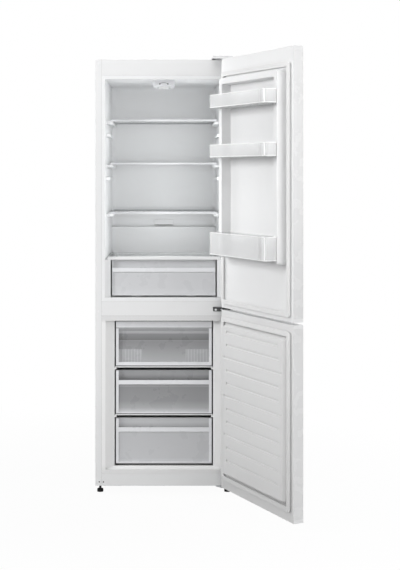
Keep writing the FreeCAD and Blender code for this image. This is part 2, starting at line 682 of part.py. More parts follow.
# ---------------------------------------------------------------- drawers
def tub(half, front, back, low, high):
    """An open box that narrows towards its floor."""
    def layer(inset, z):
        side = half - inset
        near = front + inset / 2
        far = back - inset / 2
        outline = wire([(-side, near, DRAWER_R), (side, near, DRAWER_R), (side, far, DRAWER_R),
                        (-side, far, DRAWER_R)])
        outline.translate(V(0, 0, z))
        return outline
    outer = Part.makeLoft([layer(DRAWER_DRAFT, low), layer(0, high)], True, True)
    inner = Part.makeLoft([layer(DRAWER_DRAFT + DRAWER_WALL, low + DRAWER_WALL), layer(DRAWER_WALL, high)],
                          True, True)
    return outer.cut(inner)


def front_frame(half, front, low, high, border):
    """The raised border of a drawer front: a cheek at each side and a sill along the bottom."""
    side, sill = border
    cheek = block((half - side, half), (front, front + LIP_OUT + GRIP_DEEP), (low, high))
    foot = block((-half, half), (front, front + LIP_OUT), (low, low + sill))
    return [cheek, mirrored(cheek), foot]


def grip_front(half, front, low, high, bands, border):
    """A drawer front folded to a flat panel, a grip lip and a finger recess, inside its border."""
    lip, recess = bands
    lip_high = high - recess
    lip_low = lip_high - lip
    points = [(front + LIP_OUT, low), (front + LIP_OUT, lip_low - LIP_OUT), (front, lip_low),
              (front, lip_high), (front + LIP_OUT + GRIP_DEEP, lip_high),
              (front + LIP_OUT + GRIP_DEEP, high)]
    folded = across(bent(points, -DRAWER_WALL), -half, half)
    return fuse(folded, *front_frame(half, front, low, high, border))


def make_crisper():
    half = BAY_HALF - CRISPER_GAP
    low = FRIDGE_FLOOR + SKID_HEIGHT
    high = BAY_TOP - CRISPER_TOP_GAP
    front = CRISPER_FRONT
    panel = grip_front(half, front, low, high, CRISPER_BANDS, CRISPER_BORDER)
    box_front = front + LIP_OUT + GRIP_DEEP + DRAWER_WALL
    box = tub(half - DRAWER_WALL, box_front, LOWER_BACK - CRISPER_BACK, low, high)
    skid = block((SKID_OFFSET, SKID_OFFSET + SKID),
                 (box_front + SKID_ENDS[0], LOWER_BACK - CRISPER_BACK - SKID_ENDS[1]),
                 (FRIDGE_FLOOR + RUNNING, low + DRAWER_WALL))
    keep("crisper_front", panel)
    keep("crisper_box", fuse(box, skid, mirrored(skid)))


def make_freezer_drawers():
    half = FREEZER_HALF - DRAWER_GAP
    front = DRAWER_FRONT
    back = FREEZER_DEPTH - DRAWER_BACK
    lows = (FREEZER_FLOOR + RUNNING, SHELF_TOPS[0] + RUNNING, SHELF_TOPS[1] + RUNNING)
    highs = (SHELF_TOPS[0] - GLASS - DRAWER_SHELF_GAP, SHELF_TOPS[1] - GLASS - DRAWER_SHELF_GAP,
             FREEZER_TOP - UPPER_TOP_GAP)
    box_front = front + LIP_OUT + GRIP_DEEP + DRAWER_WALL
    lower_back = FREEZER_FOOT_DEPTH - DRAWER_BACK
    keep("drawer_lower_front",
         grip_front(half, front, lows[0] + DRAWER_BELOW, highs[0], LOWER_BANDS, DRAWER_BORDER))
    keep("drawer_lower_box", tub(half - DRAWER_WALL, box_front, lower_back, lows[0], highs[0]))
    keep("drawer_middle_front", grip_front(half, front, lows[1], highs[1], MIDDLE_BANDS, DRAWER_BORDER))
    keep("drawer_middle_box", tub(half - DRAWER_WALL, box_front, back, lows[1], highs[1]))
    low, high = lows[2], highs[2]
    strip = high - UPPER_STRIP
    window = front + GRIP_DEEP
    points = [(front, low), (front, low + UPPER_LEDGE), (window, low + UPPER_LEDGE + LIP_OUT),
              (window, strip - UPPER_SLOPE), (front, strip), (front, high)]
    face = across(bent(points, -DRAWER_WALL), -half, half)
    box = tub(half - DRAWER_WALL, window, back, low, high)
    cheek = block((half - DRAWER_BORDER[0], half), (front, window + DRAWER_WALL), (low, high))
    keep("drawer_upper", fuse(face, box, cheek, mirrored(cheek)))


def make_freezer_shelves():
    half = FREEZER_HALF - SHELF_GAP
    plates = []
    for top in SHELF_TOPS:
        plates.append(block((-half, half), (FREEZER_MOUTH[1] + DRAWER_WALL, FREEZER_DEPTH - FREEZER_CORNER_R),
                            (top - GLASS, top)))
    keep("freezer_shelves", *plates)


# ---------------------------------------------------------------- doors
def door_plan(half, front, back, radius):
    """A door's outline from above, rounded at its two outer edges."""
    return wire([(-half, back), (-half, front, radius), (half, front, radius), (half, back)])


def door_skin(low, high):
    """The outer steel sheet, wrapped round both long edges."""
    outer = door_plan(HALF, DOOR_OUT, DOOR_IN, DOOR_EDGE_R)
    inner = door_plan(INNER, DOOR_OUT + SHEET, DOOR_IN, DOOR_EDGE_R - SHEET)
    return upright(outer, low + CAP, high - CAP).cut(upright(inner, low + CAP, high - CAP))


def door_caps(low, high):
    """The moulded end caps with the blind holes for the hinge pins."""
    outline = door_plan(HALF, DOOR_OUT, DOOR_IN - DOOR_LINER, DOOR_EDGE_R)
    bore = PIN_LONG + PIN_CLEAR
    low_bore = rod(PIN_R + PIN_CLEAR, PIVOT + V(0, 0, low), PIVOT + V(0, 0, low + bore))
    high_bore = rod(PIN_R + PIN_CLEAR, PIVOT + V(0, 0, high - bore), PIVOT + V(0, 0, high))
    return upright(outline, low, low + CAP).cut(low_bore), upright(outline, high - CAP, high).cut(high_bore)


def gasket(half, low, high):
    """The magnetic seal: a wide head on a narrower foot, all round the door."""
    face = -GASKET_CLEAR
    waist = DOOR_IN + GASKET_FOOT_DEEP
    inset = (GASKET - GASKET_FOOT) / 2

    def ring(by, wide, y0, y1):
        outer = corners(half - by, low + by, high - by, GASKET_R)
        inner = corners(half - by - wide, low + by + wide, high - by - wide, GASKET_R / 2)
        return inward(wire(outer), y0, y1).cut(inward(wire(inner), y0, y1))
    return fuse(ring(inset, GASKET_FOOT, DOOR_IN, waist), ring(0, GASKET, waist, face))


def dike(by):
    """The fridge door's raised rim, or the hollow behind its sheet when set in by the sheet."""
    half = OPENING - DIKE_SIDE - by
    low = FRIDGE_FLOOR + DIKE_BOTTOM + by
    high = FRIDGE_TOP - DIKE_TOP - by
    start = DOOR_IN - (DOOR_LINER if by else 0)
    outer = frustum(half, low, high, DIKE_R, start, DOOR_IN + DIKE_HEIGHT - by, DIKE_DRAFT)
    wide = DIKE_WIDTH - 2 * by
    well = frustum(half - wide, low + DIKE_RIM_LOW - 2 * by, high - wide, DIKE_WELL_R, start,
                   DOOR_IN + DIKE_HEIGHT, -DIKE_DRAFT)
    return outer.cut(well)


def plateau_size():
    """Half width, bottom and top of the freezer door's raised panel at its foot."""
    half = FREEZER_OPEN_HALF - PLATEAU_SIDE + PLATEAU_DRAFT
    return half, FREEZER_LOW + PLATEAU_SIDE - PLATEAU_DRAFT, FREEZER_TOP - PLATEAU_SIDE + PLATEAU_DRAFT


def plateau(by):
    """The freezer door's raised panel with its pressed grooves."""
    half, low, high = plateau_size()
    start = DOOR_IN - (DOOR_LINER if by else 0)
    top = DOOR_IN + PLATEAU_HEIGHT - by
    shape = frustum(half - by, low + by, high - by, PLATEAU_R, start, top, PLATEAU_DRAFT)
    pitch = (high - low - GROOVE_FIRST - GROOVE_LAST) / (GROOVES - 1)
    flat = half - PLATEAU_DRAFT
    for i in range(GROOVES):
        reach = flat - (GROOVE_SHORT_IN if (i + 1) % LONG_GROOVE_EVERY else GROOVE_LONG_IN) + by
        z = low + GROOVE_FIRST + i * pitch
        wide = GROOVE_WIDE / 2 + by
        deep = top - GROOVE_DEEP
        cut = wire([(deep, z - wide / 2), (top, z - wide), (top + PAST, z - wide),
                    (top + PAST, z + wide), (top, z + wide), (deep, z + wide / 2)])
        shape = shape.cut(across(cut, -reach, reach))
    return shape


def door_liner(low, high, form):
    """The inner sheet: flat round the edge, raised in the middle and hollow behind."""
    sheet = block((-INNER, INNER), (DOOR_IN - DOOR_LINER, DOOR_IN), (low + SHEET, high - SHEET))
    return sheet.fuse(form(0)).cut(form(DOOR_LINER)).removeSplitter()


def door_foam(low, high, form):
    """The filling between the steel sheet and the inner sheet."""
    inner = door_plan(INNER, DOOR_OUT + SHEET, DOOR_IN - DOOR_LINER, DOOR_EDGE_R - SHEET)
    return fuse(upright(inner, low + CAP, high - CAP), form(DOOR_LINER))


def make_door(name, low, high, form, seal):
    """Files one door's five nodes at the rest angle."""
    keep(name + "_skin", swing(door_skin(low, high)))
    keep(name + "_caps", *[swing(cap) for cap in door_caps(low, high)])
    keep(name + "_foam", swing(door_foam(low, high, form)))
    keep(name + "_liner", swing(door_liner(low, high, form)))
    keep(name + "_gasket", swing(seal))


def door_bin(low, high):
    """A clear bin: wide in front of the dike, narrow between its sides."""
    dike_top = DOOR_IN + DIKE_HEIGHT + RUNNING
    between = OPENING - DIKE_SIDE - DIKE_WIDTH - RUNNING

    def plan(inset):
        front = DOOR_IN + BIN_DEPTH - inset
        step = dike_top + inset
        back = DOOR_IN + RUNNING + inset
        half = OPENING - BIN_SIDE - inset
        narrow = between - inset
        return wire([(-half, front, BIN_R), (-half, step, BIN_STEP_R), (-narrow, step, BIN_STEP_R),
                     (-narrow, back, BIN_BACK_R), (narrow, back, BIN_BACK_R), (narrow, step, BIN_STEP_R),
                     (half, step, BIN_STEP_R), (half, front, BIN_R)])
    return upright(plan(0), low, high).cut(upright(plan(BIN_WALL), low + BIN_FLOOR, high))


def make_bins():
    for number, (low, tall) in enumerate(zip(BIN_LOWS, BIN_TALL), 1):
        keep("door_bin_%d" % number, swing(door_bin(low, low + tall)))


def make_doors():
    half = HALF - GASKET_SET_IN
    fridge_seal = gasket(half, FRIDGE_FLOOR - GASKET, FRIDGE_TOP + GASKET_INSIDE_GAP + GASKET)
    make_door("fridge_door", FRIDGE_DOOR_LOW, FRIDGE_DOOR_TOP, dike, fridge_seal)
    low, high = plateau_size()[1:]
    freezer_seal = gasket(half, low - GASKET_INSIDE_GAP - GASKET, high + GASKET_INSIDE_GAP + GASKET)
    make_door("freezer_door", FREEZER_DOOR_LOW, FREEZER_DOOR_TOP, plateau, freezer_seal)
    make_bins()


# ---------------------------------------------------------------- hinges
def hex_screw(base, axis):
    """A hexagon-headed screw whose head sits on base and whose shank runs against axis."""
    turns = [math.radians(60 * i) for i in range(6)]
    head = wire([(SCREW_HEAD_R * math.cos(turn), SCREW_HEAD_R * math.sin(turn)) for turn in turns])
    screw = upright(head, 0, SCREW_HEAD).fuse(rod(SCREW_R, V(0, 0, -SCREW_LONG), V(0, 0, 0)))
    turn = FreeCAD.Rotation(V(0, 0, 1), axis)
    screw.Placement = FreeCAD.Placement(base, turn)
    return screw.removeSplitter()


def bracket_plan():
    """The flat hinge plate: on the cabinet at the back, an arm to the pin in front."""
    left = PIVOT.x - BRACKET_WIDE + PIVOT_MARGIN
    right = PIVOT.x + PIVOT_MARGIN
    front = PIVOT.y - PIVOT_MARGIN
    on_cabinet, at_root, at_tip = BRACKET_R
    return wire([(left, BRACKET_BACK, on_cabinet), (left, 0, on_cabinet),
                 (right - 2 * PIVOT_MARGIN, front, at_root), (right, front, at_tip),
                 (right, BRACKET_BACK, on_cabinet)])


def hinge_pin(low, high):
    return rod(PIN_R, PIVOT + V(0, 0, low), PIVOT + V(0, 0, high))


def middle_bracket():
    """An angle: its flange is screwed to the centre rail and its arm runs between the doors."""
    wide, tall = MIDDLE_FLANGE
    left = HALF - MIDDLE_FROM_SIDE
    low = DOOR_SPLIT - MIDDLE_PLATE / 2
    high = DOOR_SPLIT + MIDDLE_PLATE / 2
    flange = wire([(left, high - tall, MIDDLE_FLANGE_R), (left + wide, high - tall, MIDDLE_FLANGE_R),
                   (left + wide, high), (left, high)])
    front = PIVOT.y - PIVOT_MARGIN
    right = PIVOT.x + PIVOT_MARGIN
    on_cabinet, at_root, at_tip = BRACKET_R
    arm = wire([(left, 0), (left, -PLATE), (right - 3 * PIVOT_MARGIN, front, on_cabinet),
                (right, front, at_tip), (right, 0)])
    pin = hinge_pin(FREEZER_DOOR_TOP - PIN_LONG, FRIDGE_DOOR_LOW + PIN_LONG)
    return fuse(inward(flange, -PLATE, 0), upright(arm, low, high), pin)


def hinge_screws():
    """Four screws on the top bracket, two on the bottom one and two on the middle one."""
    screws = []
    inner_side = PIVOT.x - BRACKET_WIDE + PIVOT_MARGIN
    for y in (BRACKET_BACK * 0.25, BRACKET_BACK * 0.75):
        for along in BRACKET_SCREWS:
            screws.append(hex_screw(V(inner_side + along, y, TOP_Z + PLATE), V(0, 0, 1)))
        screws.append(hex_screw(V(inner_side + BRACKET_SCREWS[0], y, BASE_Z - PLATE), V(0, 0, -1)))
    wide, tall = MIDDLE_FLANGE
    left = HALF - MIDDLE_FROM_SIDE
    z = DOOR_SPLIT + MIDDLE_PLATE / 2 - tall / 2 - MIDDLE_SCREW_LOW
    for x in (left + BRACKET_SCREWS[0], left + wide - BRACKET_SCREWS[0]):
        screws.append(hex_screw(V(x, -PLATE, z), V(0, -1, 0)))
    return screws


def hinge_cover():
    """The hollow cap over the top hinge."""
    left = HALF - COVER_FROM_SIDE
    front = PIVOT.y - PIVOT_MARGIN - COVER_WALL
    back = front + COVER_LONG
    top = TOP_Z + COVER_HEIGHT
    cover = block((left, HALF), (front, back), (TOP_Z, top))
    cover = cover.makeChamfer(COVER_EDGE, [e for e in cover.Edges if e.CenterOfMass.z > TOP_Z + 1])
    return cover.cut(block((left + COVER_WALL, HALF - COVER_WALL), (front + COVER_WALL, back - COVER_WALL),
                           (TOP_Z, top - COVER_WALL)))


def make_hinges():
    """The three hinge brackets, their screws, the top cover and the blanked spare holes."""
    screws = hinge_screws()
    top = upright(bracket_plan(), TOP_Z, TOP_Z + PLATE).fuse(hinge_pin(FRIDGE_DOOR_TOP - PIN_LONG, TOP_Z))
    bottom = upright(bracket_plan(), BASE_Z - PLATE, BASE_Z)
    bottom = bottom.fuse(hinge_pin(BASE_Z, FREEZER_DOOR_LOW + PIN_LONG))
    foot_hole = V(HALF - FOOT_IN, FOOT_BACK, BASE_Z - PLATE)
    bottom = bottom.cut(rod(STEM_R + STEM_CLEAR, foot_hole, foot_hole + V(0, 0, PLATE)))
    keep("top_hinge_bracket", top.cut(screws).removeSplitter())
    keep("middle_hinge_bracket", middle_bracket().cut(screws).removeSplitter())
    keep("bottom_hinge_bracket", bottom.cut(screws).removeSplitter())
    keep("hinge_screws", *screws)
    keep("top_hinge_cover", hinge_cover())
    plugs = []
    for z in (TOP_Z - PLUG_BELOW_TOP, DOOR_SPLIT - PLUG_BELOW_SPLIT):
        plugs.append(rod(PLUG_R, V(-HALF + PLUG_IN, 0, z), V(-HALF + PLUG_IN, -PLUG_THICK, z)))
    keep("hole_plugs", *plugs)
    return screws


# ---------------------------------------------------------------- machine bay and back
def axle_fork(x, y):
    """Two cheeks and the axle of one rear roller, hanging under the plate."""
    reach = ROLLER_WIDE / 2 + FORK_CLEAR
    cheeks = [block((left, left + FORK), (y - FORK_HALF, y + FORK_HALF), (ROLLER_R - FORK_BELOW_AXLE, BASE_Z))
              for left in (x - reach - FORK, x + reach)]
    axle = rod(AXLE_R, V(x - reach - FORK, y, ROLLER_R), V(x + reach + FORK, y, ROLLER_R))
    return cheeks + [axle]


def roller(x, y):
    half = ROLLER_WIDE / 2
    ring = tube(ROLLER_R, AXLE_R + PIN_CLEAR, V(x - half, y, ROLLER_R), V(x + half, y, ROLLER_R))
    rims = [e for e in ring.Edges
            if e.BoundBox.XLength < 0.1 and abs(e.BoundBox.ZLength - 2 * ROLLER_R) < 0.1]
    return ring.makeChamfer(ROLLER_CHAMFER, rims)


def make_machine_bay():
    """The plate across the bottom of the back, with the rollers and all that stands on it."""
    back = CABINET_DEPTH - PLATE_BACK
    front = back - COMPRESSOR_PLATE
    outline = bent([(front, BASE_Z + PLATE_UPSTAND), (front, BASE_Z), (back, BASE_Z),
                    (back, BASE_Z + PLATE_UPSTAND)], COMPRESSOR_PLATE_THICK)
    forks = []
    for side, name in ((-1, "rear_roller_left"), (1, "rear_roller_right")):
        x = side * (HALF - ROLLER_IN)
        y = CABINET_DEPTH - ROLLER_BACK
        forks += axle_fork(x, y)
        keep(name, roller(x, y))
    keep("compressor_plate", fuse(across(outline, -INNER, INNER), *forks))
    middle = (front + back) / 2
    mount_top = BASE_Z + COMPRESSOR_PLATE_THICK + MOUNT_HIGH
    make_compressor(middle, mount_top)
    make_drain(mount_top + PLATE - WELD + COMPRESSOR_LOW + COMPRESSOR_DOME + RUNNING)


def turned(centre, radius, start, end):
    """Points on a round stretch of a turned profile, between two angles in degrees."""
    angles = [math.radians(start + (end - start) * i / TURNED_STEPS) for i in range(TURNED_STEPS + 1)]
    return [(centre[0] + radius * math.cos(a), centre[1] + radius * math.sin(a)) for a in angles]


def compressor_pot():
    """The domed shell, turned in one profile with its weld seam."""
    radius = COMPRESSOR_R
    stand_out, high = COMPRESSOR_SEAM
    top = COMPRESSOR_LOW + COMPRESSOR_DOME
    ball = (radius ** 2 + COMPRESSOR_DOME ** 2) / (2 * COMPRESSOR_DOME)
    edge = math.degrees(math.asin((ball - COMPRESSOR_DOME) / ball))
    foot = turned((radius - COMPRESSOR_FOOT_R, COMPRESSOR_FOOT_R), COMPRESSOR_FOOT_R, -90, 0)
    seam = [(radius, COMPRESSOR_LOW - high), (radius + stand_out, COMPRESSOR_LOW - high),
            (radius + stand_out, COMPRESSOR_LOW)]
    dome = turned((0, top - ball), ball, edge, 90)
    pot = Part.Face(wire([(0, 0)] + foot + seam + dome)).revolve(V(0, 0, 0), V(0, 1, 0), 360)
    pot.rotate(V(0, 0, 0), V(1, 0, 0), 90)
    return pot


def make_compressor(y, z):
    """The sealed compressor with its foot plate at z, its rubber mounts and its starter box."""
    spread_x, spread_y = MOUNT_SPREAD
    tops = [V(COMPRESSOR_X + right * spread_x, y + back * spread_y, z)
            for right in (-1, 1) for back in (-1, 1)]
    keep("compressor_mounts", *[rod(MOUNT_R, top - V(0, 0, MOUNT_HIGH), top) for top in tops])
    foot = block((COMPRESSOR_X - spread_x - MOUNT_R, COMPRESSOR_X + spread_x + MOUNT_R),
                 (y - spread_y - MOUNT_R, y + spread_y + MOUNT_R), (z, z + PLATE))
    pot = compressor_pot()
    pot.translate(V(COMPRESSOR_X, y, z + PLATE - WELD))
    keep("compressor", fuse(foot, pot))
    wide, deep, high = BOX
    side = COMPRESSOR_X - COMPRESSOR_R - RUNNING
    box = block((side - wide, side), (y - deep / 2, y + deep / 2), (z + BOX_UP, z + BOX_UP + high))
    keep("starter_box", box.makeChamfer(BOX_CHAMFER, [e for e in box.Edges if e.CenterOfMass.x < side - 1]))


def make_drain(floor):
    """The drip tray on the compressor's dome and the tube that empties the gutter into it."""
    wide, deep, high = TRAY
    y = LOWER_BACK + GUTTER_STEP / 2
    x = COMPRESSOR_X - wide / 4
    tray = block((x - wide / 2, x + wide / 2), (y - deep / 2, y + deep / 2), (floor, floor + high))
    inner_x = wide / 2 - TRAY_WALL
    inner_y = deep / 2 - TRAY_WALL
    hollow = block((x - inner_x, x + inner_x), (y - inner_y, y + inner_y), (floor + TRAY_WALL, floor + high))
    keep("drip_tray", tray.cut(hollow))
    low = V(0, y, floor + TUBE_ABOVE_TRAY)
    high_end = V(0, y, GUTTER_Z - GUTTER_DEEP - LINER)
    keep("drain_tube", tube(TUBE_R, TUBE_R - TUBE_WALL, low, high_end))


def make_condenser():
    """The wire-and-tube condenser on the back: a serpentine, wires on both faces, four clips."""
    y = CABINET_DEPTH + CONDENSER_STAND
    x = HALF - CONDENSER_SIDE
    low = MACHINE_TOP + CONDENSER_LOW
    high = TOP_Z - CONDENSER_TOP
    pitch = (high - low) / (CONDENSER_RUNS - 1)
    bend = pitch / 2
    edges = []
    for i in range(CONDENSER_RUNS):
        z = low + i * pitch
        side = 1 if i % 2 == 0 else -1
        start, end = V(-side * (x - bend), y, z), V(side * (x - bend), y, z)
        edges.append(Part.LineSegment(start, end).toShape())
        if i < CONDENSER_RUNS - 1:
            middle = V(side * x, y, z + bend)
            edges.append(Part.Arc(end, middle, end + V(0, 0, pitch)).toShape())
    path = Part.Wire(edges)
    start = V(-(x - bend), y, low)
    turns = [math.radians(60 * i) for i in range(6)]
    ring = Part.makePolygon([start + V(0, math.cos(turn), math.sin(turn)) * CONDENSER_TUBE_R
                             for turn in turns + turns[:1]])
    coil = path.makePipeShell([ring], True, False)
    wires = []
    thick = CONDENSER_WIRE / 2
    offset = CONDENSER_TUBE_R + thick
    step = 2 * (x - bend - CLIP[0]) / (CONDENSER_WIRES - 1)
    for i in range(CONDENSER_WIRES):
        wx = -(x - bend - CLIP[0]) + i * step
        wy = y + (offset if i % 2 else -offset)
        wires.append(block((wx - thick, wx + thick), (wy - thick, wy + thick), (low - bend, high + bend)))
    clips = []
    wide, tall = CLIP
    for cx in (-(x - bend), x - bend - wide):
        for run in (1, CONDENSER_RUNS - 2):
            z = low + run * pitch
            body = block((cx, cx + wide), (CABINET_DEPTH, y + CONDENSER_TUBE_R + CLIP_OVER),
                         (z - tall / 2, z + tall / 2))
            clips.append(body.cut(coil))
    keep("condenser", coil, *wires, *clips)


def make_feet():
    """The two front feet, each a pad on a stem that is screwed up into its nut."""
    for side, name in ((-1, "levelling_foot_left"), (1, "levelling_foot_right")):
        base = V(side * (HALF - FOOT_IN), FOOT_BACK, 0)
        pad = rod(FOOT_R, base, base + V(0, 0, FOOT_PAD))
        pad = pad.makeChamfer(FOOT_CHAMFER, [e for e in pad.Edges if abs(e.CenterOfMass.z - FOOT_PAD) < 0.1])
        stem = rod(STEM_R, base + V(0, 0, FOOT_PAD), base + V(0, 0, BASE_Z + NUT_HIGH - NUT_ROOF - RUNNING))
        keep(name, fuse(pad, stem))


def pierced(screws):
    """Opens the screw holes and the drain tube's passage in the pieces they run through."""
    pipe = NODES["drain_tube"][0].BoundBox
    passage = rod(TUBE_R, V(0, pipe.Center.y, pipe.ZMin), V(0, pipe.Center.y, pipe.ZMax))
    for name in ("base_panel", "top_panel", "centre_rail", "insulation_foam"):
        keep(name, *[solid.cut(screws + [passage]) for solid in NODES[name]])


def main():
    fridge_out, freezer_out = make_liners()
    keep("insulation_foam", make_shell(fridge_out, freezer_out))
    make_shelves()
    make_lamp()
    make_crisper()
    make_freezer_drawers()
    make_freezer_shelves()
    make_doors()
    screws = make_hinges()
    make_machine_bay()
    make_condenser()
    make_feet()
    pierced(screws)
    os.makedirs("parts", exist_ok=True)
    for name, solids in NODES.items():
        shape = solids[0].copy() if len(solids) == 1 else Part.makeCompound(solids)
        shape.translate(TO_ORIGIN)
        shape.exportStep(os.path.join("parts", name + ".step"))


main()
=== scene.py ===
import bpy
import functools
import json
import math
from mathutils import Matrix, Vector


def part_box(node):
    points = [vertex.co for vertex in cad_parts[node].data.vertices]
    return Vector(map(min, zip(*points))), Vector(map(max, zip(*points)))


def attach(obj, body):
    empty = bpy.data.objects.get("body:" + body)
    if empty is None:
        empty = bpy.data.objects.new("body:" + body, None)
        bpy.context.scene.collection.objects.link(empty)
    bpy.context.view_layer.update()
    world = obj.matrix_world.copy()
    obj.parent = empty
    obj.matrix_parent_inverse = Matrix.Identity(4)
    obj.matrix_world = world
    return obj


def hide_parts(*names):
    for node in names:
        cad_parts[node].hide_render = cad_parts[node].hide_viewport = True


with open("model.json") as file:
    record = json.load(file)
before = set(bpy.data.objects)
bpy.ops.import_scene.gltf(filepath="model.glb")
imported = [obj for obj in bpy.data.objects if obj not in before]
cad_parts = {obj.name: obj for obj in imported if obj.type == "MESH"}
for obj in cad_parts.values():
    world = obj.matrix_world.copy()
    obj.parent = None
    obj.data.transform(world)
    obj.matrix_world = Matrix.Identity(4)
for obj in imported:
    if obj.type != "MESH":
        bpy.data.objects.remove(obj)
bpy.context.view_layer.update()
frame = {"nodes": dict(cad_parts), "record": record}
nodes = frame["nodes"]

# ------------------------------------------------------------ places
# Places and painted marks are in millimetres from the cabinet's middle plane, the plane of
# its front edge and the floor. Both planes are found from where the frame has the front left
# foot.
FOOT = (-278.5, 45.0)             # the middle of that foot
PIVOT = (282.5, -42.0)            # the axis that both doors swing about
OPEN = math.radians(115.0)        # how far they stand open at rest
foot_low, foot_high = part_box("levelling_foot_left")
MIDDLE = [(foot_low[i] + foot_high[i]) / 2 - FOOT[i] / 1000 for i in range(2)]

UPWARD = (0.0, 0.0, 1.0)
INWARD = (0.0, 1.0, 0.0)
ALONG_DOOR = (math.cos(OPEN), math.sin(OPEN), 0.0)
OFF_DOOR = (-math.sin(OPEN), math.cos(OPEN), 0.0)


def stay(x, y, z):
    """A point of the cabinet, in metres of the frame."""
    return (MIDDLE[0] + x / 1000, MIDDLE[1] + y / 1000, z / 1000)


def hang(x, y, z):
    """A point of a shut door, swung open to the rest angle."""
    dx, dy = x - PIVOT[0], y - PIVOT[1]
    return stay(PIVOT[0] + dx * math.cos(OPEN) - dy * math.sin(OPEN),
                PIVOT[1] + dx * math.sin(OPEN) + dy * math.cos(OPEN), z)


def box_mm(node):
    """The lowest and the highest corner of a node's box, in millimetres of the cabinet."""
    origin = stay(0.0, 0.0, 0.0)
    return [[(value - start) * 1000 for value, start in zip(corner, origin)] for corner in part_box(node)]


# ------------------------------------------------------------ colours
def shades(colour, by):
    """A colour and its neighbours, darker and lighter, as a ramp's stops over a noise."""
    dark = tuple(c * (1 - by) for c in colour)
    light = tuple(min(1.0, c * (1 + by)) for c in colour)
    return [(0.32, dark), (0.5, colour), (0.68, light)]


def grey(value):
    """A faintly cool grey."""
    return (value * 0.985, value * 0.995, value * 1.02)


def greys(*stops):
    """A ramp's stops from places between 0 and 1 and the greys there."""
    return [(at, grey(value)) for at, value in stops]


# ------------------------------------------------------------ node trees
NOISE_RANGE = (0.3, 0.7)          # where nearly all of a noise texture's values lie
RECESS_RANGE = (0.05, 0.55)       # how open a gap is, from its darkest painted shade to untouched
RECESS_SAMPLES = 8
COAT_ROUGHNESS = 0.12
FINE = 0.0001                     # height of a fine grain, in metres
WAVE = 0.0006                     # height of flow waves, in metres
MIX_COLOURS, MIX_RESULT = (6, 7), 2    # a mix node's sockets for colours


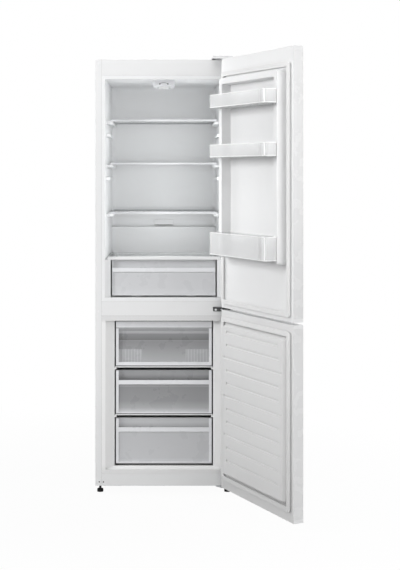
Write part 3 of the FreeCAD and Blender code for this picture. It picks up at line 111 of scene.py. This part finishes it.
class Nodes:
    """The node tree of a new material or world. Noise scales are per metre."""

    def __init__(self, name, kind=bpy.data.materials):
        self.owner = kind.new(name)
        self.owner.use_nodes = True
        self.tree = self.owner.node_tree
        self.tree.nodes.clear()

    def new(self, kind, **values):
        node = self.tree.nodes.new(kind)
        for key, value in values.items():
            setattr(node, key, value)
        return node

    def put(self, value, socket):
        """Gives a socket its value: a number, a colour or another node's output."""
        if isinstance(value, float):
            socket.default_value = value
        elif isinstance(value, tuple):
            socket.default_value = value + (1.0,)
        else:
            self.tree.links.new(value, socket)

    def maths(self, operation, *values):
        node = self.new("ShaderNodeMath", operation=operation)
        for value, socket in zip(values, node.inputs):
            self.put(value, socket)
        return node.outputs["Value"]

    def between(self, value, low, high, at_low=0.0, at_high=1.0):
        """A value carried from one range to another and held at its ends."""
        node = self.new("ShaderNodeMapRange")
        for name, number in (("From Min", low), ("From Max", high), ("To Min", at_low), ("To Max", at_high)):
            self.put(number, node.inputs[name])
        self.put(value, node.inputs["Value"])
        return node.outputs["Result"]

    # Places, in metres, and masks over them, in millimetres.
    @functools.cached_property
    def place(self):
        """A point's place in the frame, as it is at rest."""
        return self.new("ShaderNodeTexCoord").outputs["Object"]

    def axis(self, letter):
        """One coordinate of the frame."""
        node = self.new("ShaderNodeSeparateXYZ")
        self.put(self.place, node.inputs["Vector"])
        return node.outputs[letter]

    def aside(self):
        """The distance to either side of the cabinet's middle plane."""
        return self.maths("ABSOLUTE", self.maths("SUBTRACT", self.axis("X"), MIDDLE[0]))

    def depth(self):
        """The distance behind the plane of the cabinet's front edge."""
        return self.maths("SUBTRACT", self.axis("Y"), MIDDLE[1])

    def along(self, direction):
        """The distance along a direction from the foot of the axis that the doors swing about."""
        away = self.new("ShaderNodeVectorMath", operation="SUBTRACT")
        away.inputs[1].default_value = stay(*PIVOT, 0.0)
        self.put(self.place, away.inputs[0])
        dot = self.new("ShaderNodeVectorMath", operation="DOT_PRODUCT")
        dot.inputs[1].default_value = direction
        self.put(away.outputs["Vector"], dot.inputs[0])
        return dot.outputs["Value"]

    def step(self, place, start, end):
        """Nought to one as a place goes from start to end."""
        return self.between(place, start / 1000, end / 1000)

    def band(self, place, low, high, soft):
        """One inside a range of places and nought outside it."""
        return self.maths("MULTIPLY", self.step(place, low - soft, low), self.step(place, high + soft, high))

    # Textures.
    def noise(self, scale, detail=3.0, rough=0.55, vector=None):
        node = self.new("ShaderNodeTexNoise")
        for name, number in (("Scale", scale), ("Detail", detail), ("Roughness", rough)):
            self.put(number, node.inputs[name])
        self.put(vector or self.place, node.inputs["Vector"])
        return node.outputs["Fac"]

    def stretched(self, scale):
        """The place, drawn out along the axes that have the smaller scale."""
        node = self.new("ShaderNodeMapping")
        node.inputs["Scale"].default_value = scale
        self.put(self.place, node.inputs["Vector"])
        return node.outputs["Vector"]

    def spread(self, noise, low, high):
        """A noise carried to a range."""
        return self.between(noise, *NOISE_RANGE, low, high)

    def bump(self, height, strength, distance):
        node = self.new("ShaderNodeBump")
        for name, value in (("Strength", strength), ("Distance", distance), ("Height", height)):
            self.put(value, node.inputs[name])
        return node.outputs["Normal"]

    def uneven(self, low, high):
        """The uneven gloss of moulded plastic, from its smoothest to its roughest."""
        return self.spread(self.noise(9.0, 5.0, 0.6), low, high)

    def grain(self, scale, strength):
        """The fine grain that a mould leaves."""
        return self.bump(self.noise(scale, 2.0), strength, FINE)

    def waves(self):
        """The flow waves of clear plastic and glass."""
        return self.bump(self.noise(9.0, 1.0), 0.02, WAVE)

    # Colours.
    def ramp(self, value, stops):
        node = self.new("ShaderNodeValToRGB")
        ramp = node.color_ramp
        while len(ramp.elements) < len(stops):
            ramp.elements.new(0.5)
        for element, (at, colour) in zip(ramp.elements, stops):
            element.position = at
            element.color = tuple(colour) + (1.0,)
        self.put(value, node.inputs["Fac"])
        return node.outputs["Color"]

    def cloudy(self, colour, cloud=0.006):
        """The faintly clouded colour of opaque plastic and enamel."""
        return self.ramp(self.noise(1.3), shades(colour, cloud))

    def hazy(self, colour):
        """The faintly clouded colour of clear plastic and glass."""
        return self.ramp(self.noise(1.5, 2.0), shades(colour, 0.01))

    def mixed(self, factor, first, second, blend="MIX"):
        """Two colours mixed by a factor."""
        node = self.new("ShaderNodeMix", data_type="RGBA", blend_type=blend)
        self.put(factor, node.inputs["Factor"])
        for value, index in zip((first, second), MIX_COLOURS):
            self.put(value, node.inputs[index])
        return node.outputs[MIX_RESULT]

    def recess_shade(self, colour, reach, deepest):
        """Paints shade into a colour in narrow gaps, where little light reaches."""
        node = self.new("ShaderNodeAmbientOcclusion", samples=RECESS_SAMPLES)
        self.put(reach, node.inputs["Distance"])
        shade = self.between(node.outputs["AO"], *RECESS_RANGE, deepest, 1.0)
        shaded = self.new("ShaderNodeCombineColor")
        for channel in shaded.inputs:
            self.put(shade, channel)
        return self.mixed(1.0, colour, shaded.outputs["Color"], "MULTIPLY")

    def finish(self, colour, rough, normal, alpha=1.0, metallic=0.0, ior=1.5, coat=0.0, specular=0.5):
        """The material itself, from its surface's values."""
        shader = self.new("ShaderNodeBsdfPrincipled")
        for name, value in (("Base Color", colour), ("Roughness", rough), ("Normal", normal),
                            ("Alpha", alpha), ("Metallic", metallic), ("IOR", ior),
                            ("Specular IOR Level", specular), ("Coat Weight", coat),
                            ("Coat Roughness", COAT_ROUGHNESS)):
            self.put(value, shader.inputs[name])
        self.put(shader.outputs["BSDF"], self.new("ShaderNodeOutputMaterial").inputs["Surface"])
        return self.owner


# ------------------------------------------------------------ plain materials
BLACKEST = 0.05                   # painted shade: the tone left in the narrowest gaps
GROOVE_TONE = 0.6                 # the same painted shade for the open grooves of a door's liner
CLEAR_IOR = 1.49


def moulded(name, colour, rough, grain, strength, cloud=0.006, gaps=0.0, **more):
    """Moulded plastic or enamel: a cloudy tone, fine grain and uneven gloss, and painted shade in narrow
    gaps.
    """
    m = Nodes(name)
    colours = m.cloudy(colour, cloud)
    if gaps:
        colours = m.recess_shade(colours, gaps, BLACKEST)
    return m.finish(colours, m.uneven(rough * 0.85, rough * 1.15), m.grain(grain, strength), **more)


def painted(name, colour, rough):
    """Powder-coated sheet steel: faint orange peel under a thin gloss."""
    m = Nodes(name)
    colours = m.ramp(m.noise(1.1), shades(colour, 0.005))
    gloss = m.spread(m.noise(25.0, 4.0), rough * 0.95, rough * 1.05)
    peel = m.bump(m.noise(260.0, 1.0), 0.015, 0.00004)
    return m.finish(colours, gloss, peel, coat=0.06)


def zinc(name):
    """Galvanised sheet: spangle crystals and a faint rolling direction."""
    m = Nodes(name)
    spangle = m.new("ShaderNodeTexVoronoi")
    m.put(140.0, spangle.inputs["Scale"])
    m.put(m.place, spangle.inputs["Vector"])
    tone = m.ramp(spangle.outputs["Distance"],
                  [(0.0, (0.44, 0.45, 0.46)), (0.5, (0.55, 0.56, 0.57)), (1.0, (0.66, 0.67, 0.68))])
    gloss = m.spread(m.noise(300.0, 3.0, 0.6, m.stretched((1.0, 14.0, 14.0))), 0.28, 0.46)
    return m.finish(tone, gloss, m.bump(spangle.outputs["Distance"], 0.12, 0.0002), metallic=0.85)


def rolled_back(name):
    """Plain back sheet: aluminised, slightly dull, with a rolled grain."""
    m = Nodes(name)
    tone = m.ramp(m.noise(5.0, 5.0), shades((0.62, 0.63, 0.64), 0.03))
    grain = m.noise(260.0, 3.0, 0.6, m.stretched((0.2, 1.0, 14.0)))
    return m.finish(tone, m.spread(grain, 0.42, 0.6), m.bump(grain, 0.1, 0.0002), metallic=0.35)


def clear(name, colour, alpha, rough):
    """Clear moulded plastic or glass: faint haze and flow waves."""
    m = Nodes(name)
    gloss = m.spread(m.noise(30.0, 4.0), rough * 0.7, rough * 1.3)
    return m.finish(m.hazy(colour), gloss, m.waves(), alpha=alpha, ior=CLEAR_IOR)


# ------------------------------------------------------------ materials with painted marks
SHADE_TOP = 2000.0                 # height up to which the painted shade by height is given
SOFT_LINE, SOFT_MARK = 0.5, 1.0   # how far a painted line's and a painted mark's edges blur
EDGE_ALPHA = 0.9
TRIM_GLOSS = (0.32, 0.44)


def shaded_by_height(name, rough, grain, strength, tones, gaps=0.0, deepest=GROOVE_TONE):
    """Moulded plastic with painted shade that changes with the height above the floor."""
    m = Nodes(name)
    colours = m.ramp(m.step(m.axis("Z"), 0.0, SHADE_TOP),
                     [(height / SHADE_TOP, (tone,) * 3) for height, tone in tones])
    if gaps:
        colours = m.recess_shade(colours, gaps, deepest)
    return m.finish(colours, m.uneven(rough * 0.85, rough * 1.15), m.grain(grain, strength))


def edged(name, colour, alpha, bands):
    """Clear plastic or glass with painted highlights and painted shade in bands, which are its edges and
    corners.

    A band is its start and end from the doors' axis, its colour and its direction.
    """
    m = Nodes(name)
    tone = m.hazy(colour)
    solid = alpha
    for low, high, band_colour, direction in bands:
        band = m.band(m.along(direction), low, high, SOFT_LINE)
        tone = m.mixed(band, tone, band_colour)
        solid = m.maths("MAXIMUM", m.between(band, 0.0, 1.0, alpha, EDGE_ALPHA), solid)
    gloss = m.spread(m.noise(30.0, 4.0), 0.10, 0.18)
    return m.finish(tone, gloss, m.waves(), alpha=solid, ior=CLEAR_IOR)


PANE_SINK = (1.5, 3.5)            # depths behind the face at which the rim ends and the pane begins
PANE_ALPHA, RIM_ALPHA = 0.86, 0.98
RIM_SOFT = 1.0
RIBS_ASIDE, RIBS_SOFT_SIDE = (97.0, 196.0), 3.0    # two ribbed blocks, one to either side
RIBS_TOP, RIBS_SOFT_TOP = 622.0, 4.0
RIBS_SCALE = 24.0
RIBS_DARK, RIBS_LIGHT = (0.45, 0.455, 0.47), (0.53, 0.535, 0.55)


def drawer_front(name, node, pane, rim, border, lines=(), ribbed=False):
    """A drawer's moulded front: white on its raised border and lip, a grey-tinted pane behind them.

    The colours of the pane and of the rim are given from the bottom to the top of the front, with painted
    shade and highlights among them, and the painted shadow lines across it by their lower and upper edge
    above the floor and their tone.
    """
    (_, face, bottom), (half, _, top) = box_mm(node)
    m = Nodes(name)
    aside, height = m.aside(), m.axis("Z")
    up = m.step(height, bottom, top)
    tint_and_shade = m.ramp(up, pane)
    if ribbed:
        ribs = m.new("ShaderNodeTexWave")
        m.put(RIBS_SCALE, ribs.inputs["Scale"])
        m.put(m.place, ribs.inputs["Vector"])
        block = m.maths("MULTIPLY", m.band(aside, *RIBS_ASIDE, RIBS_SOFT_SIDE),
                        m.step(height, RIBS_TOP + RIBS_SOFT_TOP, RIBS_TOP))
        tint_and_shade = m.mixed(block, tint_and_shade, m.ramp(ribs.outputs["Fac"], [(0.2, RIBS_DARK), (0.8, RIBS_LIGHT)]))
    raised = m.maths("MAXIMUM", m.step(m.depth(), face + PANE_SINK[1], face + PANE_SINK[0]),
                     m.step(aside, half - border, half - border + RIM_SOFT))
    colours = m.mixed(raised, tint_and_shade, m.ramp(up, rim))
    for low, high, tone in lines:
        colours = m.mixed(m.band(height, low, high, SOFT_LINE), colours, grey(tone))
    gloss = m.spread(m.noise(12.0), 0.24, 0.34)
    solid = m.between(raised, 0.0, 1.0, PANE_ALPHA, RIM_ALPHA)
    return m.finish(colours, gloss, m.waves(), alpha=solid, ior=CLEAR_IOR, specular=0.4)


def shelf_trim(node):
    """A moulded shelf edge, shaded along its top."""
    (_, _, bottom), (_, _, top) = box_mm(node)
    m = Nodes(node)
    colours = m.ramp(m.step(m.axis("Z"), bottom, top),
                     greys((0.0, 0.72), (0.6, 0.72), (0.8, 0.56), (1.0, 0.50)))
    return m.finish(colours, m.uneven(*TRIM_GLOSS), m.grain(1200.0, 0.1))


RIVET_HOLE = (230.5, 239.5)
RIVET_LEVEL = 1888.0              # the painted shade of the hole shows below this


def hinge_plate(name):
    """The light underside of the top hinge, with the painted shade of one rivet hole."""
    m = Nodes(name)
    hole = m.maths("MULTIPLY", m.band(m.aside(), *RIVET_HOLE, SOFT_MARK),
                   m.step(m.axis("Z"), RIVET_LEVEL + SOFT_LINE, RIVET_LEVEL - SOFT_LINE))
    colours = m.mixed(hole, m.cloudy(grey(0.80)), grey(0.05))
    return m.finish(colours, m.uneven(*TRIM_GLOSS), m.grain(900.0, 0.1))


DIAL_CENTRE = 1760.0
DIAL_RIM, DIAL_HALF = (32.2, 33.8), 18.0           # radii of the rim, and how far aside it reaches
NOTCH_ASIDE, NOTCH_LEVELS = (15.5, 20.0), (1785.0, 1790.5)


def control_housing(name):
    """The thermostat housing, with the shaded rim of its dial and the painted shade of two finger notches."""
    m = Nodes(name)
    aside, height = m.aside(), m.axis("Z")
    rise = m.maths("SUBTRACT", height, DIAL_CENTRE / 1000)
    squares = [m.maths("MULTIPLY", side, side) for side in (aside, rise)]
    radius = m.maths("SQRT", m.maths("ADD", *squares))
    rim = m.maths("MULTIPLY", m.band(radius, *DIAL_RIM, SOFT_MARK),
                  m.step(aside, DIAL_HALF + SOFT_MARK, DIAL_HALF))
    notch = m.maths("MULTIPLY", m.band(aside, *NOTCH_ASIDE, SOFT_MARK),
                    m.band(height, *NOTCH_LEVELS, SOFT_MARK))
    colours = m.mixed(rim, m.cloudy(grey(0.79)), grey(0.30))
    colours = m.mixed(notch, colours, grey(0.07))
    return m.finish(colours, m.uneven(*TRIM_GLOSS), m.grain(1200.0, 0.1))


# ------------------------------------------------------------ the materials by slot
# The numbers after a moulded colour are its roughness, its grain's scale and strength and, where
# there is a fourth, its cloudiness. After a clear colour they are its alpha and its roughness.
# Where gaps is given, narrow gaps get painted shade reaching that many metres.
PAINT_WHITE = (0.76, 0.763, 0.766)
# The seals' tones at heights above the floor, as painted shade: greyer towards the floor.
SEAL_TONES = ((80.0, 0.64), (300.0, 0.69), (800.0, 0.755))
SEAL = shaded_by_height("seal_rubber", 0.62, 1600.0, 0.2, SEAL_TONES)
SLOTS = {
    "cabinet_white": painted("powder_white", PAINT_WHITE, 0.3),
    "door_white": painted("door_white", PAINT_WHITE, 0.27),
    "back_sheet": rolled_back("back_sheet"),
    "zinc_steel": zinc("zinc_sheet"),
    "black_steel": moulded("black_enamel", (0.016, 0.016, 0.017), 0.32, 500.0, 0.15, 0.15, coat=0.2),
    "liner_white": moulded("liner_plastic", (0.80, 0.805, 0.812), 0.36, 900.0, 0.10, gaps=0.03),
    "door_liner_white": moulded("door_liner_plastic", (0.80, 0.803, 0.806), 0.38, 900.0, 0.12),
    "trim_white": moulded("trim_plastic", (0.80, 0.803, 0.808), 0.38, 1200.0, 0.12),
    "gasket_white": SEAL,
    "foam": moulded("foam", (0.70, 0.64, 0.46), 0.9, 260.0, 0.6, 0.10, gaps=0.03),
    "shelf_glass": clear("safety_glass", (0.66, 0.70, 0.70), 0.26, 0.08),
    "lens_clear": clear("lamp_lens", (0.86, 0.87, 0.88), 0.75, 0.3),
    "clear_plastic": clear("clear_polystyrene", (0.93, 0.935, 0.94), 0.42, 0.16),
    "drawer_front_plastic": clear("drawer_polystyrene", (0.62, 0.63, 0.65), 0.7, 0.3),
    "rubber_black": moulded("black_rubber", (0.008, 0.008, 0.008), 0.8, 1500.0, 0.4, 0.2),
    "black_plastic": moulded("black_plastic", (0.012, 0.012, 0.013), 0.6, 900.0, 0.35, 0.15, specular=0.2)}

# ------------------------------------------------------------ the materials of single nodes
# Heights above the floor and the tones there, as painted shade: greyer towards the floor, and in the freezer
# bay also darker at its top.
DOOR_TONES = ((80.0, 0.65), (300.0, 0.71), (800.0, 0.75))
BAY_TONES = ((100.0, 0.74), (130.0, 0.82), (744.0, 0.82), (756.0, 0.69))

# Painted bands of the door bins: three ranges from the doors' axis, then how far the painted shadow at the
# foot and the painted highlight over it reach above the bin's bottom, and how far the painted highlight of
# its lip reaches below its top.
BINS = ("door_bin_1", "door_bin_2", "door_bin_3")
BAND_LIGHT, BAND_DARK = (0.93, 0.932, 0.935), (0.56, 0.565, 0.57)
BIN_END, BIN_CORNER, BIN_SIDE = (-516.0, -512.0), (-483.5, -480.0), (60.0, 65.0)
BIN_FOOT_SHADOW, BIN_SHEEN, BIN_LIP = 1.8, 4.5, 2.5
GLASS_LIGHT, GLASS_EDGE = (0.93, 0.94, 0.95), (-1.0, 2.0)

# Panes and rims from the bottom to the top of a front, with painted shade and highlights among their tones.
# Painted shadow lines: lower edge, upper edge and tone.
DRAWER_BORDER, CRISPER_BORDER = 12.0, 3.0
WHITE_RIM = greys((0.0, 0.795), (1.0, 0.795))
CRISPER_RIM = greys((0.0, 0.74), (0.2, 0.68), (0.665, 0.66), (0.68, 0.79), (0.785, 0.79), (0.80, 0.66),
                    (1.0, 0.62))
CRISPER_PANE = greys((0.0, 0.74), (0.2, 0.68), (0.6, 0.66), (0.68, 0.72), (0.8, 0.66), (1.0, 0.62))
UPPER_PANE = greys((0.08, 0.52), (0.2, 0.44), (0.45, 0.32), (0.55, 0.29), (0.56, 0.42), (0.57, 0.21),
                   (0.70, 0.28), (0.74, 0.50), (1.0, 0.56))
MIDDLE_PANE = greys((0.05, 0.72), (0.14, 0.48), (0.3, 0.35), (0.62, 0.31), (0.65, 0.44), (0.665, 0.20),
                    (0.80, 0.22), (0.9, 0.38), (1.0, 0.42))
LOWER_PANE = greys((0.05, 0.72), (0.12, 0.64), (0.4, 0.62), (0.69, 0.60), (0.80, 0.46), (0.9, 0.62),
                   (1.0, 0.66))
UPPER_LINES = ((550.0, 555.0, 0.22), (717.5, 720.0, 0.34), (747.0, 750.0, 0.12))
MIDDLE_LINES = ((341.0, 346.0, 0.22),)
LOWER_LINES = ((125.0, 129.0, 0.24),)


def bin_bands():
    """The clear door bins' painted shade and highlights: dark corners seen through, a painted shadow at the
    foot and along the side, painted highlights along the edges.
    """
    bands = [(*BIN_CORNER, BAND_DARK, ALONG_DOOR), (*BIN_END, BAND_LIGHT, ALONG_DOOR),
             (*BIN_SIDE, BAND_DARK, OFF_DOOR)]
    for node in BINS:
        (_, _, bottom), (_, _, top) = box_mm(node)
        bands += [(bottom, bottom + BIN_FOOT_SHADOW, BAND_DARK, UPWARD),
                  (bottom + BIN_FOOT_SHADOW, bottom + BIN_SHEEN, BAND_LIGHT, UPWARD),
                  (top - BIN_LIP, top, BAND_LIGHT, UPWARD)]
    return bands


def glass_bands():
    """The painted highlight along the front edge of the freezer's glass shelves."""
    edge = box_mm("freezer_shelves")[0][1] - PIVOT[1]
    return [(edge + GLASS_EDGE[0], edge + GLASS_EDGE[1], GLASS_LIGHT, INWARD)]


SINGLE = {
    "fridge_door_liner": moulded("fridge_door_liner", (0.82, 0.823, 0.826), 0.38, 900.0, 0.12),
    "freezer_door_liner": shaded_by_height("freezer_door_liner", 0.38, 900.0, 0.1, DOOR_TONES, gaps=0.02),
    "freezer_liner": shaded_by_height("freezer_liner", 0.36, 900.0, 0.1, BAY_TONES, gaps=0.03, deepest=BLACKEST),
    "freezer_shelves": edged("freezer_glass", (0.55, 0.60, 0.60), 0.3, glass_bands()),
    "crisper_front": drawer_front("crisper_front_clear", "crisper_front", CRISPER_PANE, CRISPER_RIM,
                                  CRISPER_BORDER),
    "drawer_upper": drawer_front("upper_drawer_smoky", "drawer_upper", UPPER_PANE, WHITE_RIM,
                                 DRAWER_BORDER, UPPER_LINES, ribbed=True),
    "drawer_middle_front": drawer_front("middle_drawer_smoky", "drawer_middle_front", MIDDLE_PANE, WHITE_RIM,
                                        DRAWER_BORDER, MIDDLE_LINES),
    "drawer_lower_front": drawer_front("lower_drawer_smoky", "drawer_lower_front", LOWER_PANE, WHITE_RIM,
                                       DRAWER_BORDER, LOWER_LINES),
    "lamp_housing": control_housing("control_housing"),
    "top_hinge_bracket": hinge_plate("hinge_plate")}
SINGLE.update({node: shelf_trim(node) for node in ("shelf_trim_1", "shelf_trim_2", "shelf_trim_3")})
SINGLE.update(dict.fromkeys(BINS, edged("door_bin_clear", (0.90, 0.905, 0.91), 0.42, bin_bands())))

for part in frame["record"]["subparts"]:
    mesh = nodes[part["node"]].data
    mesh.materials.clear()
    mesh.materials.append(SINGLE.get(part["node"]) or SLOTS[part["material_slot"]])

# ------------------------------------------------------------ door seals
SMOOTH_UNDER = math.radians(32)
SEAL_HALF = 282.0
SEAL_CORNER, CORNER_SHRINK = 13.0, 0.35
ARC_STEPS = 5

# The lipped profile: how far inside the seal's outer edge, and how deep from the cabinet's edge.
SEAL_PROFILE = ((5.0, -12.0), (5.0, -9.0), (6.5, -8.2), (2.0, -6.8), (0.6, -6.0), (0.0, -5.0), (0.0, -2.0),
                (0.8, -0.8), (8.6, -0.7), (9.2, -1.5), (10.8, -1.5), (11.4, -0.7), (19.2, -0.8), (20.0, -2.0),
                (20.0, -5.0), (19.0, -6.2), (13.5, -7.4), (15.0, -8.6), (15.0, -12.0))


def rounded(half, low, high, radius, y):
    """A rounded rectangle in X and Z at depth y."""
    points = []
    for cx, cz, turn in ((half - radius, low + radius, -90), (half - radius, high - radius, 0),
                         (-half + radius, high - radius, 90), (-half + radius, low + radius, 180)):
        for i in range(ARC_STEPS + 1):
            angle = math.radians(turn + 90 * i / ARC_STEPS)
            points.append((cx + radius * math.cos(angle), y, cz + radius * math.sin(angle)))
    return points


def skinned(rings):
    """Points and faces of a skin over rings of as many points each, the last joined to the first."""
    points = [hang(*point) for ring in rings for point in ring]
    count = len(rings[0])
    faces = []
    for i in range(len(rings)):
        here = i * count
        there = (i + 1) % len(rings) * count
        for j in range(count):
            k = (j + 1) % count
            faces.append((here + j, here + k, there + k, there + j))
    return points, faces


def piece(name, points, faces, material, body, slot):
    """A mesh piece from points in metres, riding on a body."""
    mesh = bpy.data.meshes.new(name)
    mesh.from_pydata(points, [], faces)
    mesh.validate()
    mesh.materials.append(material)
    made = bpy.data.objects.new(name, mesh)
    bpy.context.collection.objects.link(made)
    bpy.context.view_layer.objects.active = made
    made.select_set(True)
    bpy.ops.object.mode_set(mode="EDIT")
    bpy.ops.mesh.select_all(action="SELECT")
    bpy.ops.mesh.normals_make_consistent(inside=False)
    bpy.ops.object.mode_set(mode="OBJECT")
    bpy.ops.object.shade_smooth_by_angle(angle=SMOOTH_UNDER)
    made.select_set(False)
    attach(made, body)
    return made


def seal(name, body, node):
    """A door's lipped seal, as high as the plain ring that it replaces."""
    corner_low, corner_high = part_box(node)
    low, high = corner_low[2] * 1000, corner_high[2] * 1000
    rings = [rounded(SEAL_HALF - inset, low + inset, high - inset, SEAL_CORNER - inset * CORNER_SHRINK, y)
             for inset, y in SEAL_PROFILE]
    made = piece(name, *skinned(rings), SEAL, body, "gasket_white")
    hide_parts(node)


seal("fridge_door_seal", "fridge_door", "fridge_door_gasket")
seal("freezer_door_seal", "freezer_door", "freezer_door_gasket")

# ------------------------------------------------------------ ground and surround
FLOOR_REACH = 9.0                 # metres
FLOOR_COLOUR = (0.58, 0.58, 0.58)
FLOOR_FADE = (0.5, 1.9)           # metres from the origin over which the glow grows
FLOOR_GLOW = (0.96, 1.0)
SURROUND_LIGHT = 0.03


def make_floor():
    """The ground: matte to the light and white to the camera, a little less so about the fridge."""
    far = FLOOR_REACH
    mesh = bpy.data.meshes.new("floor")
    mesh.from_pydata([(-far, -far, 0), (far, -far, 0), (far, far, 0), (-far, far, 0)], [], [(0, 1, 2, 3)])
    floor = bpy.data.objects.new("floor", mesh)
    bpy.context.collection.objects.link(floor)
    m = Nodes("floor_white")
    matte = m.new("ShaderNodeBsdfDiffuse")
    m.put(m.ramp(m.noise(3.0), shades(FLOOR_COLOUR, 0.01)), matte.inputs["Color"])
    white = m.new("ShaderNodeEmission")
    m.put(1.0, white.inputs["Strength"])
    distance = m.new("ShaderNodeVectorMath", operation="LENGTH")
    m.put(m.place, distance.inputs[0])
    whiteness = m.between(distance.outputs["Value"], *FLOOR_FADE, *FLOOR_GLOW)
    seen = m.maths("MULTIPLY", whiteness, m.new("ShaderNodeLightPath").outputs["Is Camera Ray"])
    mix = m.new("ShaderNodeMixShader")
    for value, socket in zip((seen, matte.outputs["BSDF"], white.outputs["Emission"]), mix.inputs):
        m.put(value, socket)
    m.put(mix.outputs["Shader"], m.new("ShaderNodeOutputMaterial").inputs["Surface"])
    mesh.materials.append(m.owner)


def make_surround():
    """A world that is white where it is seen and gives hardly any light."""
    m = Nodes("studio", bpy.data.worlds)
    rays = m.new("ShaderNodeLightPath").outputs
    seen = m.maths("MAXIMUM", rays["Is Camera Ray"], rays["Is Transmission Ray"])
    sky = m.new("ShaderNodeBackground")
    m.put((1.0, 1.0, 1.0), sky.inputs["Color"])
    m.put(m.between(seen, 0.0, 1.0, SURROUND_LIGHT, 1.0), sky.inputs["Strength"])
    m.put(sky.outputs["Background"], m.new("ShaderNodeOutputWorld").inputs["Surface"])
    bpy.context.scene.world = m.owner


make_floor()
make_surround()

# ------------------------------------------------------------ lamps
# A lamp's name, its place and target, its sides in metres and its power in watts.
LAMPS = (
    ("front_middle", (900, -4700, 1300), (0, 0, 900), (2.4, 2.0), 24.0),
    ("under", (100, -2800, 250), (150, 0, 1900), (2.0, 1.0), 9.0),
    ("left", (-3500, -1750, 2500), (300, -300, 1500), (1.6, 1.6), 112.0),
    ("left_high", (-2200, -1800, 3400), (300, -200, 1500), (1.6, 1.4), 9.0),
    ("top", (-200, -1600, 3600), (0, 0, 1000), (2.0, 1.4), 26.0),
    ("right", (2800, -3000, 1900), (0, 0, 1200), (1.8, 2.0), 60.0),
    ("back", (600, 3600, 2600), (0, 400, 1000), (2.6, 2.0), 60.0),
    ("far_right", (3600, 900, 2000), (0, 400, 1000), (2.0, 2.0), 50.0))

# A glow's name, place and power. Two stand in for the room's own lamp, three for what it scatters.
GLOWS = (
    ("room_top", (-130, 150, 1660), 0.27),
    ("room_top", (130, 150, 1660), 0.27),
    ("room", (0, 90, 1530), 0.66),
    ("room", (0, 90, 1330), 0.66),
    ("room", (0, 90, 1120), 1.15))
GLOW_RADIUS = 0.07                # metres


def light(name, kind, place, power):
    """A light that the camera doesn't see."""
    data = bpy.data.lights.new(name, kind)
    data.energy = power
    made = bpy.data.objects.new(name, data)
    bpy.context.collection.objects.link(made)
    made.location = stay(*place)
    made.visible_camera = False
    return made


def lamp(name, place, target, size, power):
    """A soft rectangular lamp, aimed at its target."""
    made = light(name, "AREA", place, power)
    made.data.shape = "RECTANGLE"
    made.data.size, made.data.size_y = size
    aim = Vector(stay(*target)) - made.location
    made.rotation_euler = aim.to_track_quat("-Z", "Y").to_euler()


def glow(name, place, power):
    """A soft ball of light inside the fridge's room, without a reflection of its own."""
    made = light(name, "POINT", place, power)
    made.data.shadow_soft_size = GLOW_RADIUS
    made.visible_glossy = False
    made.visible_transmission = False


for row in LAMPS:
    lamp(*row)
for row in GLOWS:
    glow(*row)

# ------------------------------------------------------------ camera
# It looks straight at the fridge's front. The shifted lens sets the fridge where the photograph
# has it.
CAMERA_PLACE = (0.0, -5160.0, 1389.7)

lens = bpy.data.cameras.new("camera")
lens.sensor_fit = "VERTICAL"
lens.sensor_height = 36.0
lens.lens = 74.95
lens.shift_x = 0.0635
lens.shift_y = -0.1942
camera = bpy.data.objects.new("camera", lens)
bpy.context.collection.objects.link(camera)
camera.location = stay(*CAMERA_PLACE)
camera.rotation_euler = (math.radians(90), 0.0, 0.0)
bpy.context.scene.camera = camera
bpy.context.scene.view_settings.view_transform = "Standard"
